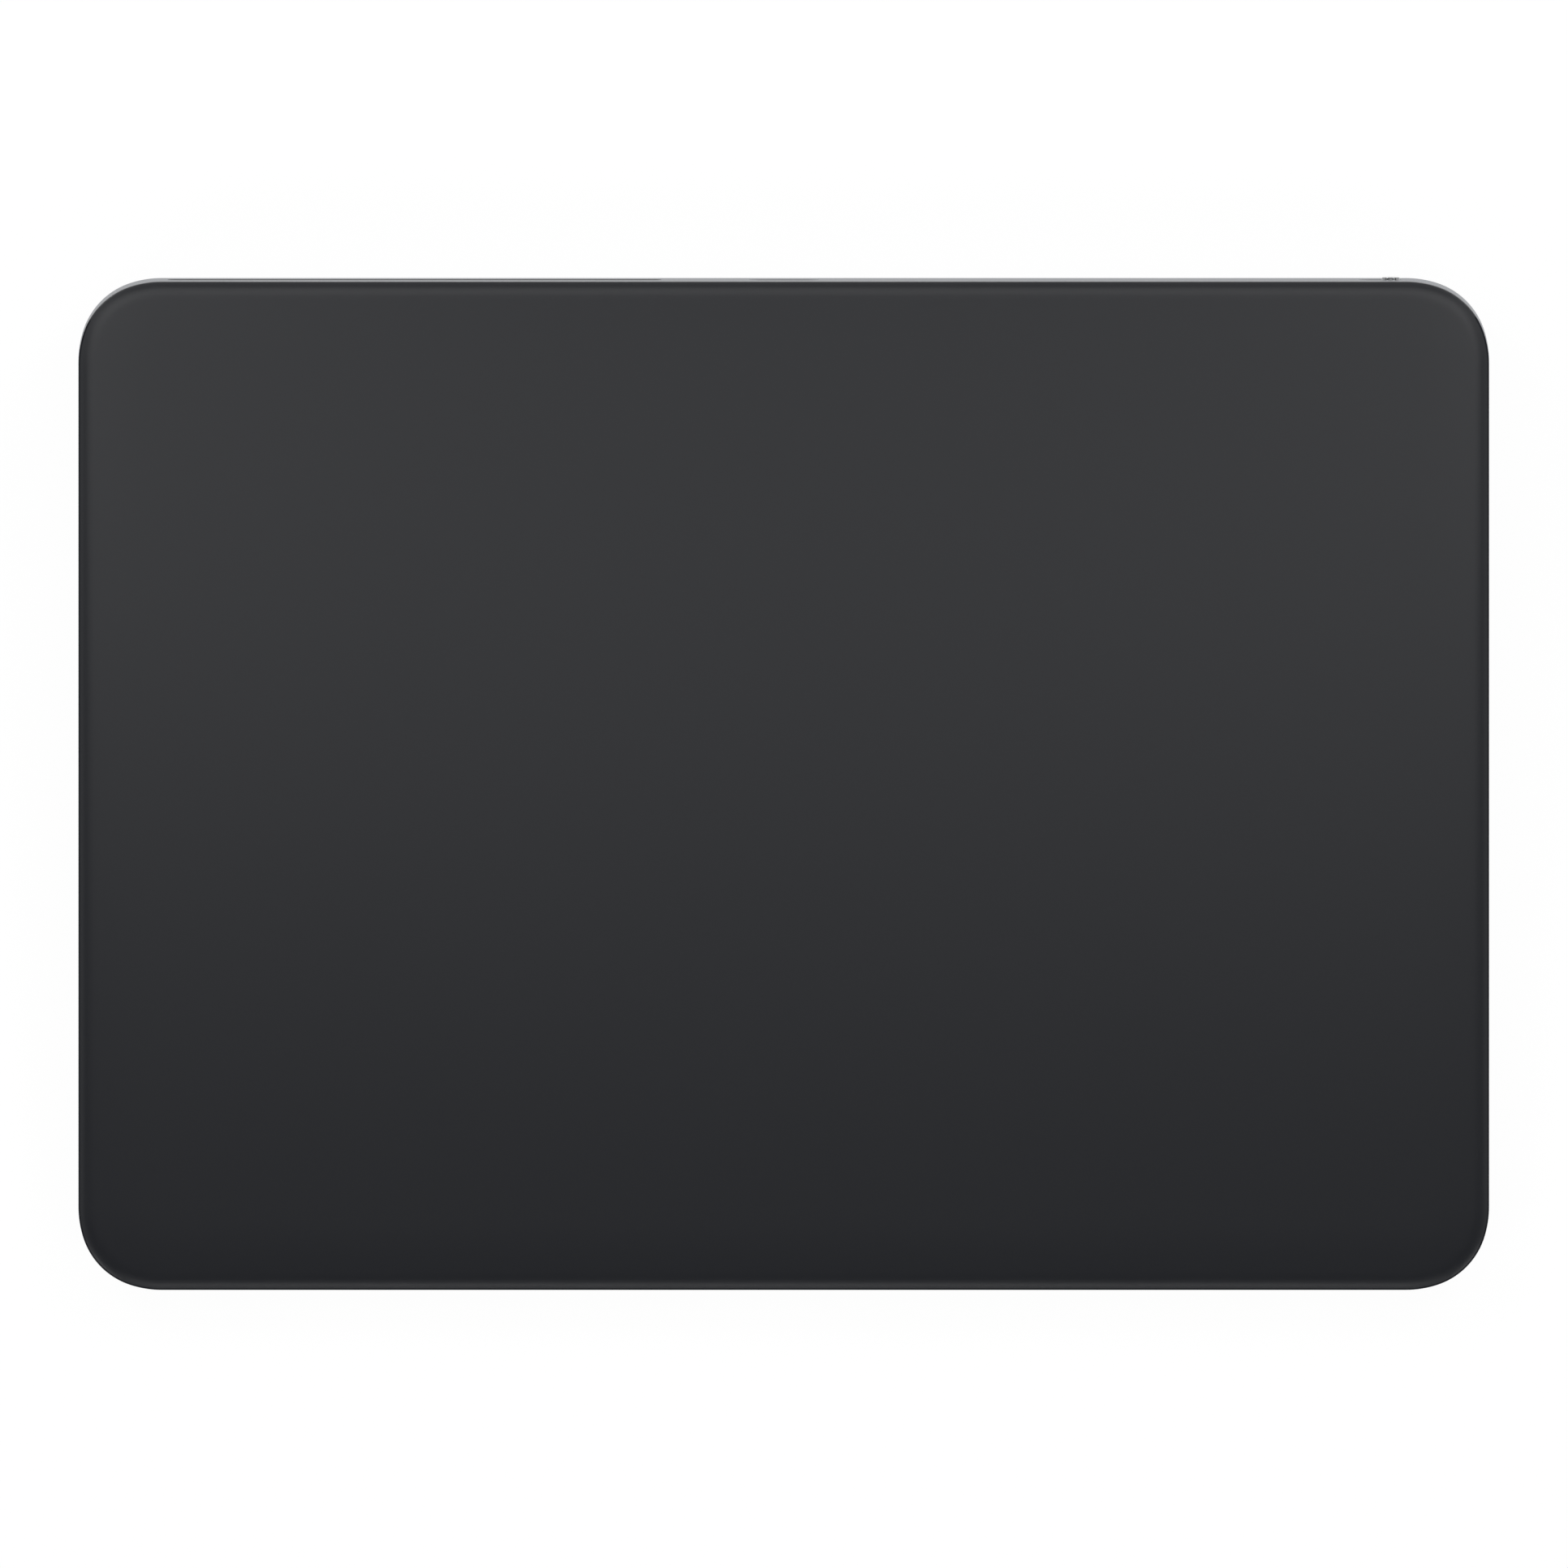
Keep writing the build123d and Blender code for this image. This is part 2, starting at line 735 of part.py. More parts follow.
def battery_lead():
    """The ribbon from the protection board up to its connector on the logic board."""
    half = battery_lead_thickness / 2
    start_y = bay_rear - guard_board_end_gap
    start_z = battery_bottom + guard_board_thickness + half
    reach = board_front + connector_edge_inset
    lines = FilletPolyline(
        (start_y - battery_lead_grip, start_z),
        (start_y + battery_lead_bend, start_z),
        desk_point(reach - battery_lead_bend, connector_depth_top - half),
        desk_point(reach + connector_depth, connector_depth_top - half),
        radius=battery_lead_bend,
    )
    middle = bay_half_width - guard_board_width / 2
    x_span = (middle - battery_lead_width / 2, middle + battery_lead_width / 2)
    return ribbon(lines, x_span, battery_lead_thickness)


# Logic board


def logic_board():
    """The long narrow circuit board along the back wall."""
    y_span = (board_front, board_rear)
    strip = deck_block((board_left, deck_width / 2), y_span, (board_depth, board_back_depth))
    strip &= plate(deck_face(wall + board_side_gap), board_depth, board_thickness)
    return strip - [screw_hole(x, y, board_depth) for x, y in board_screw_spots() + saddle_screw_spots()]


def connector_span():
    """The deck y values between which the board's connectors stand."""
    front = board_front + connector_edge_inset
    return (front, front + connector_depth)


def haptic_flex_span():
    """The x values of the corridor beside the battery that the haptic ribbon runs in."""
    return (bay_half_width + haptic_flex_gap, bay_half_width + haptic_flex_gap + haptic_flex_width)


def board_connectors():
    """The three ribbon sockets: touch, battery and, under the board, haptic."""
    y_span = connector_span()
    top = (connector_depth_top, board_depth)
    battery_x = bay_half_width - guard_board_width / 2
    places = [(0, touch_connector_length), (battery_x, battery_connector_length)]
    blocks = [deck_block((x - length / 2, x + length / 2), y_span, top) for x, length in places]
    middle = sum(haptic_flex_span()) / 2
    half = haptic_connector_length / 2
    under = (board_back_depth, board_back_depth + connector_height)
    return blocks + [deck_block((middle - half, middle + half), y_span, under)]


def shield_spans():
    """The outer x and y spans of the shield can, between the connectors and the back of the board."""
    left = board_screw_x + shield_screw_gap
    y_span = (connector_span()[1] + shield_front_gap, board_rear - shield_rear_inset)
    return (left, left + shield_length), y_span


def shield_can():
    """The folded metal lid over the radio and controller chips."""
    (x0, x1), (y0, y1) = shield_spans()
    inner = deck_block(
        (x0 + shield_wall, x1 - shield_wall),
        (y0 + shield_wall, y1 - shield_wall),
        (board_depth - shield_height + shield_wall, board_depth + cut_overrun),
    )
    return deck_block((x0, x1), (y0, y1), (board_depth - shield_height, board_depth)) - inner


def board_chips():
    """The square chips under the shield can, in a row."""
    (x0, x1), (y0, y1) = shield_spans()
    step = (x1 - x0) / board_chip_count
    half_x = step / 2 - board_chip_gap
    chips = []
    y_span = (y0 + board_chip_gap, y1 - board_chip_gap)
    depths = (board_depth - board_chip_height, board_depth)
    for n in range(board_chip_count):
        x = x0 + step * (n + 1 / 2)
        chips.append(deck_block((x - half_x, x + half_x), y_span, depths))
    return chips


def haptic_flex():
    """The ribbon that runs on the floor from the haptic plate to its socket under the logic board."""
    low, high = haptic_flex_span()
    top = case_floor + haptic_flex_thickness
    start_x = haptic_plate_width / 2 - haptic_flex_overlap
    y_span = (haptic_centre_y - haptic_flex_width / 2, haptic_centre_y + haptic_flex_width / 2)
    rise_y = connector_span()[0] + connector_depth / 2
    rise_desk = desk_point(rise_y, depth_at(case_floor, rise_y))[0]
    strip = block((start_x, high), y_span, (case_floor, top))
    strip += block((low, high), (y_span[0], rise_desk), (case_floor, top))
    plate_level = case_floor + haptic_boss_height
    strip += block((start_x, start_x + haptic_flex_width), y_span, (case_floor, plate_level))
    rise = (board_back_depth + connector_height, 2 * rear_height)
    riser = deck_block((low, high), (rise_y - haptic_flex_thickness, rise_y), rise)
    return strip + (on_deck(riser) & above(case_floor))


# Charging port


port_rear = inner_rear - port_wall_gap
cavity_width = port_mouth_width - 2 * port_lip
cavity_height = port_mouth_height - 2 * port_lip


def port_shell():
    """The steel sleeve of the charging port, open at both ends."""
    front = port_rear - port_shell_length
    outer = pill(port_shell_width, port_shell_height, 0, port_axis_depth, (front, port_rear))
    through = (front - cut_overrun, port_rear + cut_overrun)
    return outer - pill(cavity_width, cavity_height, 0, port_axis_depth, through)


def port_insulator():
    """The black moulding that closes the sleeve at the back and beds the contacts below."""
    front = port_rear - port_shell_length
    back = pill(cavity_width, cavity_height, 0, port_axis_depth, (front, front + port_back_thickness))
    y_span = (front, port_rear - port_back_thickness)
    bed = pill(cavity_width, cavity_height, 0, port_axis_depth, y_span)
    low = port_axis_depth + cavity_height / 2
    bed &= deck_block((-cavity_width, cavity_width), y_span, (low - port_bed_thickness, low))
    return back + bed


def port_contacts():
    """A row of spring contacts on the bed."""
    bed_top = port_axis_depth + cavity_height / 2 - port_bed_thickness
    front = port_rear - port_shell_length + port_back_thickness
    first = -(port_contact_count - 1) / 2 * port_contact_pitch
    half = port_contact_width / 2
    fingers = []
    for n in range(port_contact_count):
        x = first + n * port_contact_pitch
        y_span = (front, front + port_contact_length)
        finger = deck_block((x - half, x + half), y_span, (bed_top - port_contact_height, bed_top))
        far_edges = finger.edges().filter_by(Axis.X).group_by(Axis.Y)[-1].sort_by(Axis.Z)
        fingers.append(fillet(far_edges[-1], port_contact_height * 2 / 3))
    return fingers


def port_saddle():
    """The steel strap over the sleeve, screwed down to the board on both sides."""
    inner = port_shell_width / 2 + saddle_gap
    outer = inner + saddle_thickness
    rear = port_rear - saddle_rear_gap
    y_span = (rear - saddle_depth, rear)
    top = port_axis_depth - port_shell_height / 2 - saddle_gap
    strap = deck_block((-outer, outer), y_span, (top - saddle_thickness, board_depth))
    strap -= deck_block((-inner, inner), y_span, (top, board_depth))
    for sx in (-1, 1):
        ear = side_span(sx, inner, saddle_half)
        strap += deck_block(ear, y_span, (board_depth - saddle_thickness, board_depth))
    return strap - [screw_hole(x, y, board_depth) for x, y in saddle_screw_spots()]


# Power switch


carriage_front = inner_rear - carriage_wall_gap
carriage_half = knob_radius + slot_gap + switch_travel + carriage_cover
carriage_half_height = port_shell_height / 2 - carriage_board_gap
housing_front = carriage_front - carriage_thickness - switch_housing_gap
housing_top_depth = port_axis_depth - port_shell_height / 2


def axis_span(half):
    """The depths half a height above and below the axis of the back openings."""
    return (port_axis_depth - half, port_axis_depth + half)


def power_knob():
    """The round aluminium knob, from the carriage out through the slot."""
    knob = pin(knob_radius, knob_x, port_axis_depth, (carriage_front, deck_length / 2 + knob_stand))
    return fillet(knob.faces().sort_by(Axis.Y)[-1].edges(), knob_edge_radius)


def flag_span():
    """The x span of the green flag beside the knob."""
    return (knob_x + knob_radius + flag_knob_gap, knob_x + carriage_half)


def switch_carriage():
    """The plastic slider behind the slot, with a stem into the switch and a rebate for the flag."""
    rear = carriage_front - carriage_thickness
    x_span = (knob_x - carriage_half, knob_x + carriage_half)
    tall = axis_span(carriage_half_height)
    slider = deck_block(x_span, (rear, carriage_front), tall)
    slider -= deck_block(flag_span(), (carriage_front - flag_thickness, carriage_front), tall)
    half = stem_size / 2
    stem = deck_block((knob_x - half, knob_x + half), (rear - stem_length, rear), axis_span(half))
    return slider + stem


def on_flag():
    """The green flag that shows in the slot when the switch is on."""
    y_span = (carriage_front - flag_thickness, carriage_front)
    return deck_block(flag_span(), y_span, axis_span(carriage_half_height))


def switch_wiper():
    """The copper wiper under the stem."""
    rear = carriage_front - carriage_thickness
    half = stem_size / 2
    x_span = (knob_x - half, knob_x + half)
    low = port_axis_depth + half
    return deck_block(x_span, (rear - stem_length, rear - half), (low, low + wiper_thickness))


def stem_slot():
    """The room in which the stem and its wiper slide."""
    half = stem_size / 2
    rear = carriage_front - carriage_thickness - stem_length - stem_gap
    low = port_axis_depth + half + wiper_thickness + stem_gap / 2
    x_span = (knob_x - switch_travel - half - stem_gap, knob_x + half + stem_gap)
    return x_span, (rear, housing_front), (port_axis_depth - half - stem_gap, low)


def switch_housing():
    """The body of the slide switch, soldered on the board behind the carriage."""
    (x0, x1), (y0, _), (top, low) = stem_slot()
    x_span = (x0 - switch_housing_rim, x1 + switch_housing_rim)
    y_span = (housing_front - switch_housing_depth, housing_front)
    shell = deck_block(x_span, y_span, (housing_top_depth, board_depth))
    return shell - deck_block((x0, x1), (y0, housing_front + cut_overrun), (top, low + terminal_thickness))


def switch_terminals():
    """Three contact pads in the floor of the switch, under the wiper's path."""
    (x0, x1), (y0, _), (_, low) = stem_slot()
    y_span = (y0, y0 + terminal_width)
    half = terminal_length / 2
    strips = []
    for n in (-1, 0, 1):
        x = (x0 + x1) / 2 + n * terminal_pitch
        strips.append(deck_block((x - half, x + half), y_span, (low, low + terminal_thickness)))
    return strips


# Aerial


def aerial_window():
    """The plastic strip that fills the long slot, with a flange bonded inside the wall."""
    strip = pill(window_length, window_height, window_x, port_axis_depth, (inner_rear, deck_length / 2))
    flange = pill(
        window_length + 2 * window_flange_lip,
        window_height + 2 * window_flange_lip,
        window_x,
        port_axis_depth,
        (inner_rear - window_flange_thickness, inner_rear),
    )
    inside = plate(deck_face(wall), case_top_depth, rear_height)
    outside = plate(deck_face(0), case_top_depth, rear_height)
    return (strip & outside) + (flange & inside)


aerial_rear = inner_rear - window_flange_thickness
aerial_front = aerial_rear - aerial_carrier_depth


def aerial_carrier():
    """The plastic bar behind the window that holds the aerial foil."""
    x_span = (window_left, window_right)
    bar = deck_block(x_span, (aerial_front, aerial_rear), axis_span(aerial_carrier_height / 2))
    return bar & plate(deck_face(wall + board_side_gap), case_top_depth, rear_height)


def aerial_foil():
    """The copper foil on the inner face of the carrier."""
    x_span = (window_left + aerial_foil_corner_inset, window_right - aerial_foil_inset)
    half = aerial_carrier_height / 2 - aerial_foil_inset
    return deck_block(x_span, (aerial_front - aerial_foil_thickness, aerial_front), axis_span(half))


def aerial_lead():
    """The short strip from the foil across to the end of the logic board."""
    rear = aerial_front - aerial_foil_thickness
    x_span = (window_right - aerial_foil_inset - aerial_foil_lap, board_left + aerial_board_lap)
    depths = (board_depth - aerial_lead_height, board_depth)
    return deck_block(x_span, (rear - aerial_lead_thickness, rear), depths)


# Feet


def foot(x, y):
    """A round rubber foot, with a soft lower edge."""
    height = foot_height + foot_recess - foot_tape_thickness
    pad = disc(x, y, height, foot_radius, height)
    return fillet(pad.faces().sort_by(Axis.Z)[0].edges(), foot_edge_radius)


def foot_tapes():
    """The adhesive disc in each foot recess."""
    top = foot_height + foot_recess
    radius = foot_radius - foot_tape_inset
    return [disc(x, y, top, radius, foot_tape_thickness) for _, x, y in foot_places()]


# The whole trackpad


def deck_group(shapes):
    """Several separate deck pieces as one group in their place."""
    return Compound(children=[on_deck(shape) for shape in shapes])


def make_parts():
    """Every piece of the trackpad, by name."""
    inlay = deck_face(wall + deck_side_gap)
    saddle_seat = board_depth - saddle_thickness
    saddle_grip = saddle_thickness + board_thickness
    haptic_screws = screws(haptic_screw_spots(), -core_bottom, haptic_plate_thickness)
    parts = {
        "base_case": base_case(),
        "glass_plate": on_deck(glass_plate()),
        "rim_seal": on_deck(rim_seal()),
        "bond_film": on_deck(plate(inlay, glass_thickness, bond_thickness)),
        "touch_board": on_deck(plate(inlay, touch_board_depth, touch_board_thickness)),
        "stiffener_plate": on_deck(stiffener_plate()),
        "touch_chips": deck_group(touch_chips()),
        "pole_bars": deck_group(pole_bars()),
        "touch_flex": on_deck(touch_flex()),
        "gel_pads": deck_group(tip_discs(stack_depth, gel_radius, gel_thickness)),
        "pad_carriers": deck_group(tip_discs(carrier_depth, carrier_radius, carrier_thickness)),
        "strain_gauges": deck_group(strain_gauges()),
        "beam_screws": deck_group(screws(beam_screw_spots(), beam_depth, beam_thickness)),
        "haptic_plate": haptic_plate(),
        "haptic_cores": Compound(children=haptic_cores()),
        "haptic_coils": Compound(children=haptic_coils()),
        "haptic_screws": Compound(children=haptic_screws),
        "haptic_flex": haptic_flex(),
        "battery_cell": battery_cell(),
        "battery_tape": battery_tape(),
        "battery_guard_board": guard_board(),
        "battery_lead": battery_lead(),
        "logic_board": on_deck(logic_board()),
        "board_screws": deck_group(screws(board_screw_spots(), board_depth, board_thickness)),
        "board_connectors": deck_group(board_connectors()),
        "board_chips": deck_group(board_chips()),
        "shield_can": on_deck(shield_can()),
        "port_shell": on_deck(port_shell()),
        "port_insulator": on_deck(port_insulator()),
        "port_contacts": deck_group(port_contacts()),
        "port_saddle": on_deck(port_saddle()),
        "saddle_screws": deck_group(screws(saddle_screw_spots(), saddle_seat, saddle_grip)),
        "power_knob": on_deck(power_knob()),
        "switch_carriage": on_deck(switch_carriage()),
        "on_flag": on_deck(on_flag()),
        "switch_wiper": on_deck(switch_wiper()),
        "switch_housing": on_deck(switch_housing()),
        "switch_terminals": deck_group(switch_terminals()),
        "aerial_window": on_deck(aerial_window()),
        "aerial_carrier": on_deck(aerial_carrier()),
        "aerial_foil": on_deck(aerial_foil()),
        "aerial_lead": on_deck(aerial_lead()),
        "foot_tapes": Compound(children=foot_tapes()),
    }
    for name, sx, sy in beam_places():
        parts[f"force_beam_{name}"] = on_deck(force_beam(sx, sy))
    for name, sx in SIDES.items():
        parts[f"gauge_flex_{name}"] = on_deck(gauge_flex(sx))
    for name, x, y in foot_places():
        parts[f"foot_{name}"] = foot(x, y)
    return parts


os.makedirs("parts", exist_ok=True)
for name, shape in make_parts().items():
    export_step(shape, f"parts/{name}.step")
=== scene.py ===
import itertools
import json
import math
import random

import bmesh
import bpy
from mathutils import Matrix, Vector


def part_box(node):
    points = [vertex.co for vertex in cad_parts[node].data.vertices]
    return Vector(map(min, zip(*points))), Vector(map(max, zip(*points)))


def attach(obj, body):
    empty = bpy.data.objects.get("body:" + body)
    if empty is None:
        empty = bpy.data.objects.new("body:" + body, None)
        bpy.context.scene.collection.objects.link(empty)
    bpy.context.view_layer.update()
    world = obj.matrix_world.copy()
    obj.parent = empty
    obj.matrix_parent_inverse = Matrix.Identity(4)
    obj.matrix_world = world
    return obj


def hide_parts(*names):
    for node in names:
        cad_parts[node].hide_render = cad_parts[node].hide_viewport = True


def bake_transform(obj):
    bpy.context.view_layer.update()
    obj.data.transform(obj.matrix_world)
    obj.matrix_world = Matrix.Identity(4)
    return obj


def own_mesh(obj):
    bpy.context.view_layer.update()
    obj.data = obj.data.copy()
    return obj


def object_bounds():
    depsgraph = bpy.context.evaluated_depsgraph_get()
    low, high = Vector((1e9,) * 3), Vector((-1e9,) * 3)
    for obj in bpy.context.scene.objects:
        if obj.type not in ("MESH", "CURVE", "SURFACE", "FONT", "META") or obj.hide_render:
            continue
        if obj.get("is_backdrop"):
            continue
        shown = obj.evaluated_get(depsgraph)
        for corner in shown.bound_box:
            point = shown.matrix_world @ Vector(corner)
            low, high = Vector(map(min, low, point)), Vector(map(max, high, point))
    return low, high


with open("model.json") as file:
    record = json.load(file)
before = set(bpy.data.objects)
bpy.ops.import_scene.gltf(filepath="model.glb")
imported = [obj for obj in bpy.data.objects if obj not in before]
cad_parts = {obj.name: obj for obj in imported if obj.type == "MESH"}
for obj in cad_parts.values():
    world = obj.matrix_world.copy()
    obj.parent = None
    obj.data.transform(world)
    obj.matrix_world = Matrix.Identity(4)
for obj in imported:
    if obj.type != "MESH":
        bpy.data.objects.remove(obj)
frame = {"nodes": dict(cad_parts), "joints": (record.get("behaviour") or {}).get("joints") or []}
cad_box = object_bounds()

# Camera. The trackpad is seen from straight above, with no perspective to speak of. The outline of the
# case and glass fills these pixels of the picture, which gives the scale and the place of the view.
picture_pixels = 1932
left_pixel = 96.61
right_pixel = 1834.79
rear_pixel = 342.62
front_pixel = 1589.36
camera_height = 0.5

case_low, case_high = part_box("base_case")
glass_low, glass_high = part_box("glass_plate")
metres_per_pixel = (case_high.x - case_low.x) / (right_pixel - left_pixel)
body_middle_y = (case_high.y + glass_low.y) / 2
lens = bpy.data.cameras.new("overhead_view")
lens.type = "ORTHO"
lens.ortho_scale = picture_pixels * metres_per_pixel
camera = bpy.data.objects.new("overhead_camera", lens)
camera.location = (
    (picture_pixels - left_pixel - right_pixel) / 2 * metres_per_pixel,
    body_middle_y + (rear_pixel + front_pixel - picture_pixels) / 2 * metres_per_pixel,
    camera_height,
)
bpy.context.scene.collection.objects.link(camera)
bpy.context.scene.camera = camera
bpy.context.scene.view_settings.view_transform = "Standard"

# Studio. A white table and a white horizon, under a dimmer ceiling. Soft boxes, each given by its place,
# its size and its radiance, hang overhead and all round, and a short strip in front draws the thin
# bright line along the glass's front edge.
table_half = 3.0
table_shift = 0.6
table_drop = 0.00002
table_white = 0.97
paper_roughness = 0.9
paper_share = 0.96
horizon_strength = 1.0
ceiling_strength = 0.115
horizon_top = 0.06
ceiling_start = 0.34
wide_box = ((0, -0.016, 0.42), (0.25, 0.06), 1.42)
wing_box = ((0.145, 0.04, 0.421), (0.11, 0.11), 1.45)
rear_box = ((0, 0.13, 0.42), (0.5, 0.12), 1.45)
back_box = ((0, 0.46, 0.36), (1.0, 0.3), 1.4)
side_box = ((0.47, 0.05, 0.42), (0.4, 0.4), 0.6)
front_box = ((0, -0.75, 0.5), (1.0, 0.35), 0.5)
front_strip = ((0, -0.25, 0.3), (0.24, 0.03), 3.1)
corner_box = ((0.75, 0.75, 0.7), (0.4, 0.4), 7.5)

table_mesh = bpy.data.meshes.new("table")
table_points = []
for x, y in [(-1, -1), (1, -1), (1, 1), (-1, 1)]:
    table_points.append((x * table_half + table_shift, y * table_half - table_shift, -table_drop))
table_mesh.from_pydata(table_points, [], [(0, 1, 2, 3)])
table = bpy.data.objects.new("table", table_mesh)
bpy.context.scene.collection.objects.link(table)
table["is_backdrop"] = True

paper = bpy.data.materials.new("white_paper")
paper.use_nodes = True
tree = paper.node_tree
matt = tree.nodes["Principled BSDF"]
matt.inputs["Base Color"].default_value = (table_white, table_white, table_white, 1)
matt.inputs["Roughness"].default_value = paper_roughness
matt.inputs["Specular IOR Level"].default_value = 0.0
path = tree.nodes.new("ShaderNodeLightPath")
seen = path.outputs["Is Camera Ray"]
for ray in ("Is Glossy Ray", "Is Transmission Ray"):
    either = tree.nodes.new("ShaderNodeMath")
    either.operation = "MAXIMUM"
    tree.links.new(seen, either.inputs[0])
    tree.links.new(path.outputs[ray], either.inputs[1])
    seen = either.outputs[0]
share = tree.nodes.new("ShaderNodeMath")
share.operation = "MULTIPLY"
share.inputs[1].default_value = paper_share
tree.links.new(seen, share.inputs[0])
paper_mix = tree.nodes.new("ShaderNodeMixShader")
tree.links.new(share.outputs[0], paper_mix.inputs[0])
tree.links.new(matt.outputs[0], paper_mix.inputs[1])
tree.links.new(tree.nodes.new("ShaderNodeEmission").outputs[0], paper_mix.inputs[2])
under = tree.nodes.new("ShaderNodeNewGeometry")
see_through = tree.nodes.new("ShaderNodeMixShader")
tree.links.new(under.outputs["Backfacing"], see_through.inputs[0])
tree.links.new(paper_mix.outputs[0], see_through.inputs[1])
tree.links.new(tree.nodes.new("ShaderNodeBsdfTransparent").outputs[0], see_through.inputs[2])
tree.links.new(see_through.outputs[0], tree.nodes["Material Output"].inputs["Surface"])
table_mesh.materials.append(paper)

world = bpy.data.worlds.new("studio_walls")
world.use_nodes = True
bpy.context.scene.world = world
tree = world.node_tree
direction = tree.nodes.new("ShaderNodeTexCoord")
height = tree.nodes.new("ShaderNodeSeparateXYZ")
tree.links.new(direction.outputs["Generated"], height.inputs[0])
rise = tree.nodes.new("ShaderNodeMapRange")
rise.interpolation_type = "SMOOTHSTEP"
rise.inputs["From Min"].default_value = horizon_top
rise.inputs["From Max"].default_value = ceiling_start
rise.inputs["To Min"].default_value = horizon_strength
rise.inputs["To Max"].default_value = ceiling_strength
tree.links.new(height.outputs["Z"], rise.inputs["Value"])
path = tree.nodes.new("ShaderNodeLightPath")
strength = tree.nodes.new("ShaderNodeMix")
strength.inputs["B"].default_value = horizon_strength
tree.links.new(path.outputs["Is Camera Ray"], strength.inputs["Factor"])
tree.links.new(rise.outputs["Result"], strength.inputs["A"])
tree.links.new(strength.outputs["Result"], tree.nodes["Background"].inputs["Strength"])
tree.nodes["Background"].inputs["Color"].default_value = (1, 1, 1, 1)


def soft_box(name, place, size, radiance, down=False, side=1):
    """A rectangular lamp whose face shines evenly at a radiance, straight down or at the trackpad."""
    light = bpy.data.lights.new(name, "AREA")
    light.shape = "RECTANGLE"
    light.size, light.size_y = size
    light.energy = radiance * math.pi * size[0] * size[1]
    lamp = bpy.data.objects.new(name, light)
    lamp.location = (place[0] * side, place[1], place[2])
    if not down:
        lamp.rotation_euler = (-lamp.location).to_track_quat("-Z", "Y").to_euler()
    bpy.context.scene.collection.objects.link(lamp)


soft_box("wide_box", *wide_box, down=True)
soft_box("rear_box", *rear_box, down=True)
soft_box("wing_box_left", *wing_box, down=True, side=-1)
soft_box("wing_box_right", *wing_box, down=True)
soft_box("side_box_left", *side_box, side=-1)
soft_box("side_box_right", *side_box)
soft_box("front_box", *front_box)
soft_box("back_box", *back_box)
soft_box("front_strip", *front_strip)
for number, (sx, sy) in enumerate([(-1, -1), (1, -1), (-1, 1), (1, 1)]):
    (x, y, z), size, radiance = corner_box
    soft_box(f"corner_box_{number + 1}", (x * sx, y * sy, z), size, radiance)

# Base case. A shallow tub milled from one block of aluminium, bead-blasted and clear anodised. It
# carries everything else, and only its back wall shows from above.
alloy_grey = (0.3, 0.305, 0.315)
alloy_cloud = (0.286, 0.291, 0.301)
alloy_sheen = (0.73, 0.74, 0.76)
alloy_roughness = (0.32, 0.42)
blast_grains = 5200
blast_depth = 0.000006
cloud_grains = 60
corner_lead_radius = 0.0115
corner_tip_radius = 0.0083
corner_lead_angle = math.radians(18)
lead_steps = 8
tip_steps = 18
corner_skin = 0.0022
corner_start_x = 0.067
corner_start_y = 0.044
weld_distance = 0.000002
cut_distance = weld_distance / 10

press = next(joint for joint in frame["joints"] if joint["name"] == "surface_press")
deck_out = Vector(press["axis"]).normalized()
deck_back = Vector((0, deck_out.z, -deck_out.y))


def reach(node, way):
    """The least and the greatest distance that a CAD piece has along a direction."""
    distances = [vertex.co.dot(way) for vertex in frame["nodes"][node].data.vertices]
    return min(distances), max(distances)


glass_near, glass_far = reach("glass_plate", deck_back)
glass_back_level, glass_top_level = reach("glass_plate", deck_out)
deck_half_width = glass_high.x
deck_half_length = (glass_far - glass_near) / 2
deck_middle = (glass_far + glass_near) / 2 * deck_back + glass_top_level * deck_out


def finish(name, colour, roughness, metallic=0.0):
    """A new material and its surface shader."""
    made = bpy.data.materials.new(name)
    made.use_nodes = True
    surface = made.node_tree.nodes["Principled BSDF"]
    surface.inputs["Base Color"].default_value = (*colour, 1)
    surface.inputs["Roughness"].default_value = roughness
    surface.inputs["Metallic"].default_value = metallic
    return made, surface


def place_on(made, stretch=(1, 1, 1), shift=(0, 0, 0)):
    """Coordinates that are fixed to the piece, stretched along its axes and shifted."""
    where = made.node_tree.nodes.new("ShaderNodeTexCoord")
    fitted = made.node_tree.nodes.new("ShaderNodeMapping")
    fitted.inputs["Scale"].default_value = stretch
    fitted.inputs["Location"].default_value = shift
    made.node_tree.links.new(where.outputs["Object"], fitted.inputs["Vector"])
    return fitted.outputs["Vector"]


def grain(made, grains, detail=3.0, stretch=(1, 1, 1)):
    """A pattern with so many grains to the metre, drawn out along an axis where its stretch is small."""
    pattern = made.node_tree.nodes.new("ShaderNodeTexNoise")
    pattern.inputs["Scale"].default_value = grains
    pattern.inputs["Detail"].default_value = detail
    made.node_tree.links.new(place_on(made, stretch), pattern.inputs["Vector"])
    return pattern.outputs["Fac"]


def spread(made, pattern, low, high, start=0.35, end=0.65):
    """A pattern's values, stretched from a range of theirs to two given ends."""
    ends = made.node_tree.nodes.new("ShaderNodeMapRange")
    ends.inputs["From Min"].default_value = start
    ends.inputs["From Max"].default_value = end
    ends.inputs["To Min"].default_value = low
    ends.inputs["To Max"].default_value = high
    made.node_tree.links.new(pattern, ends.inputs["Value"])
    return ends.outputs["Result"]


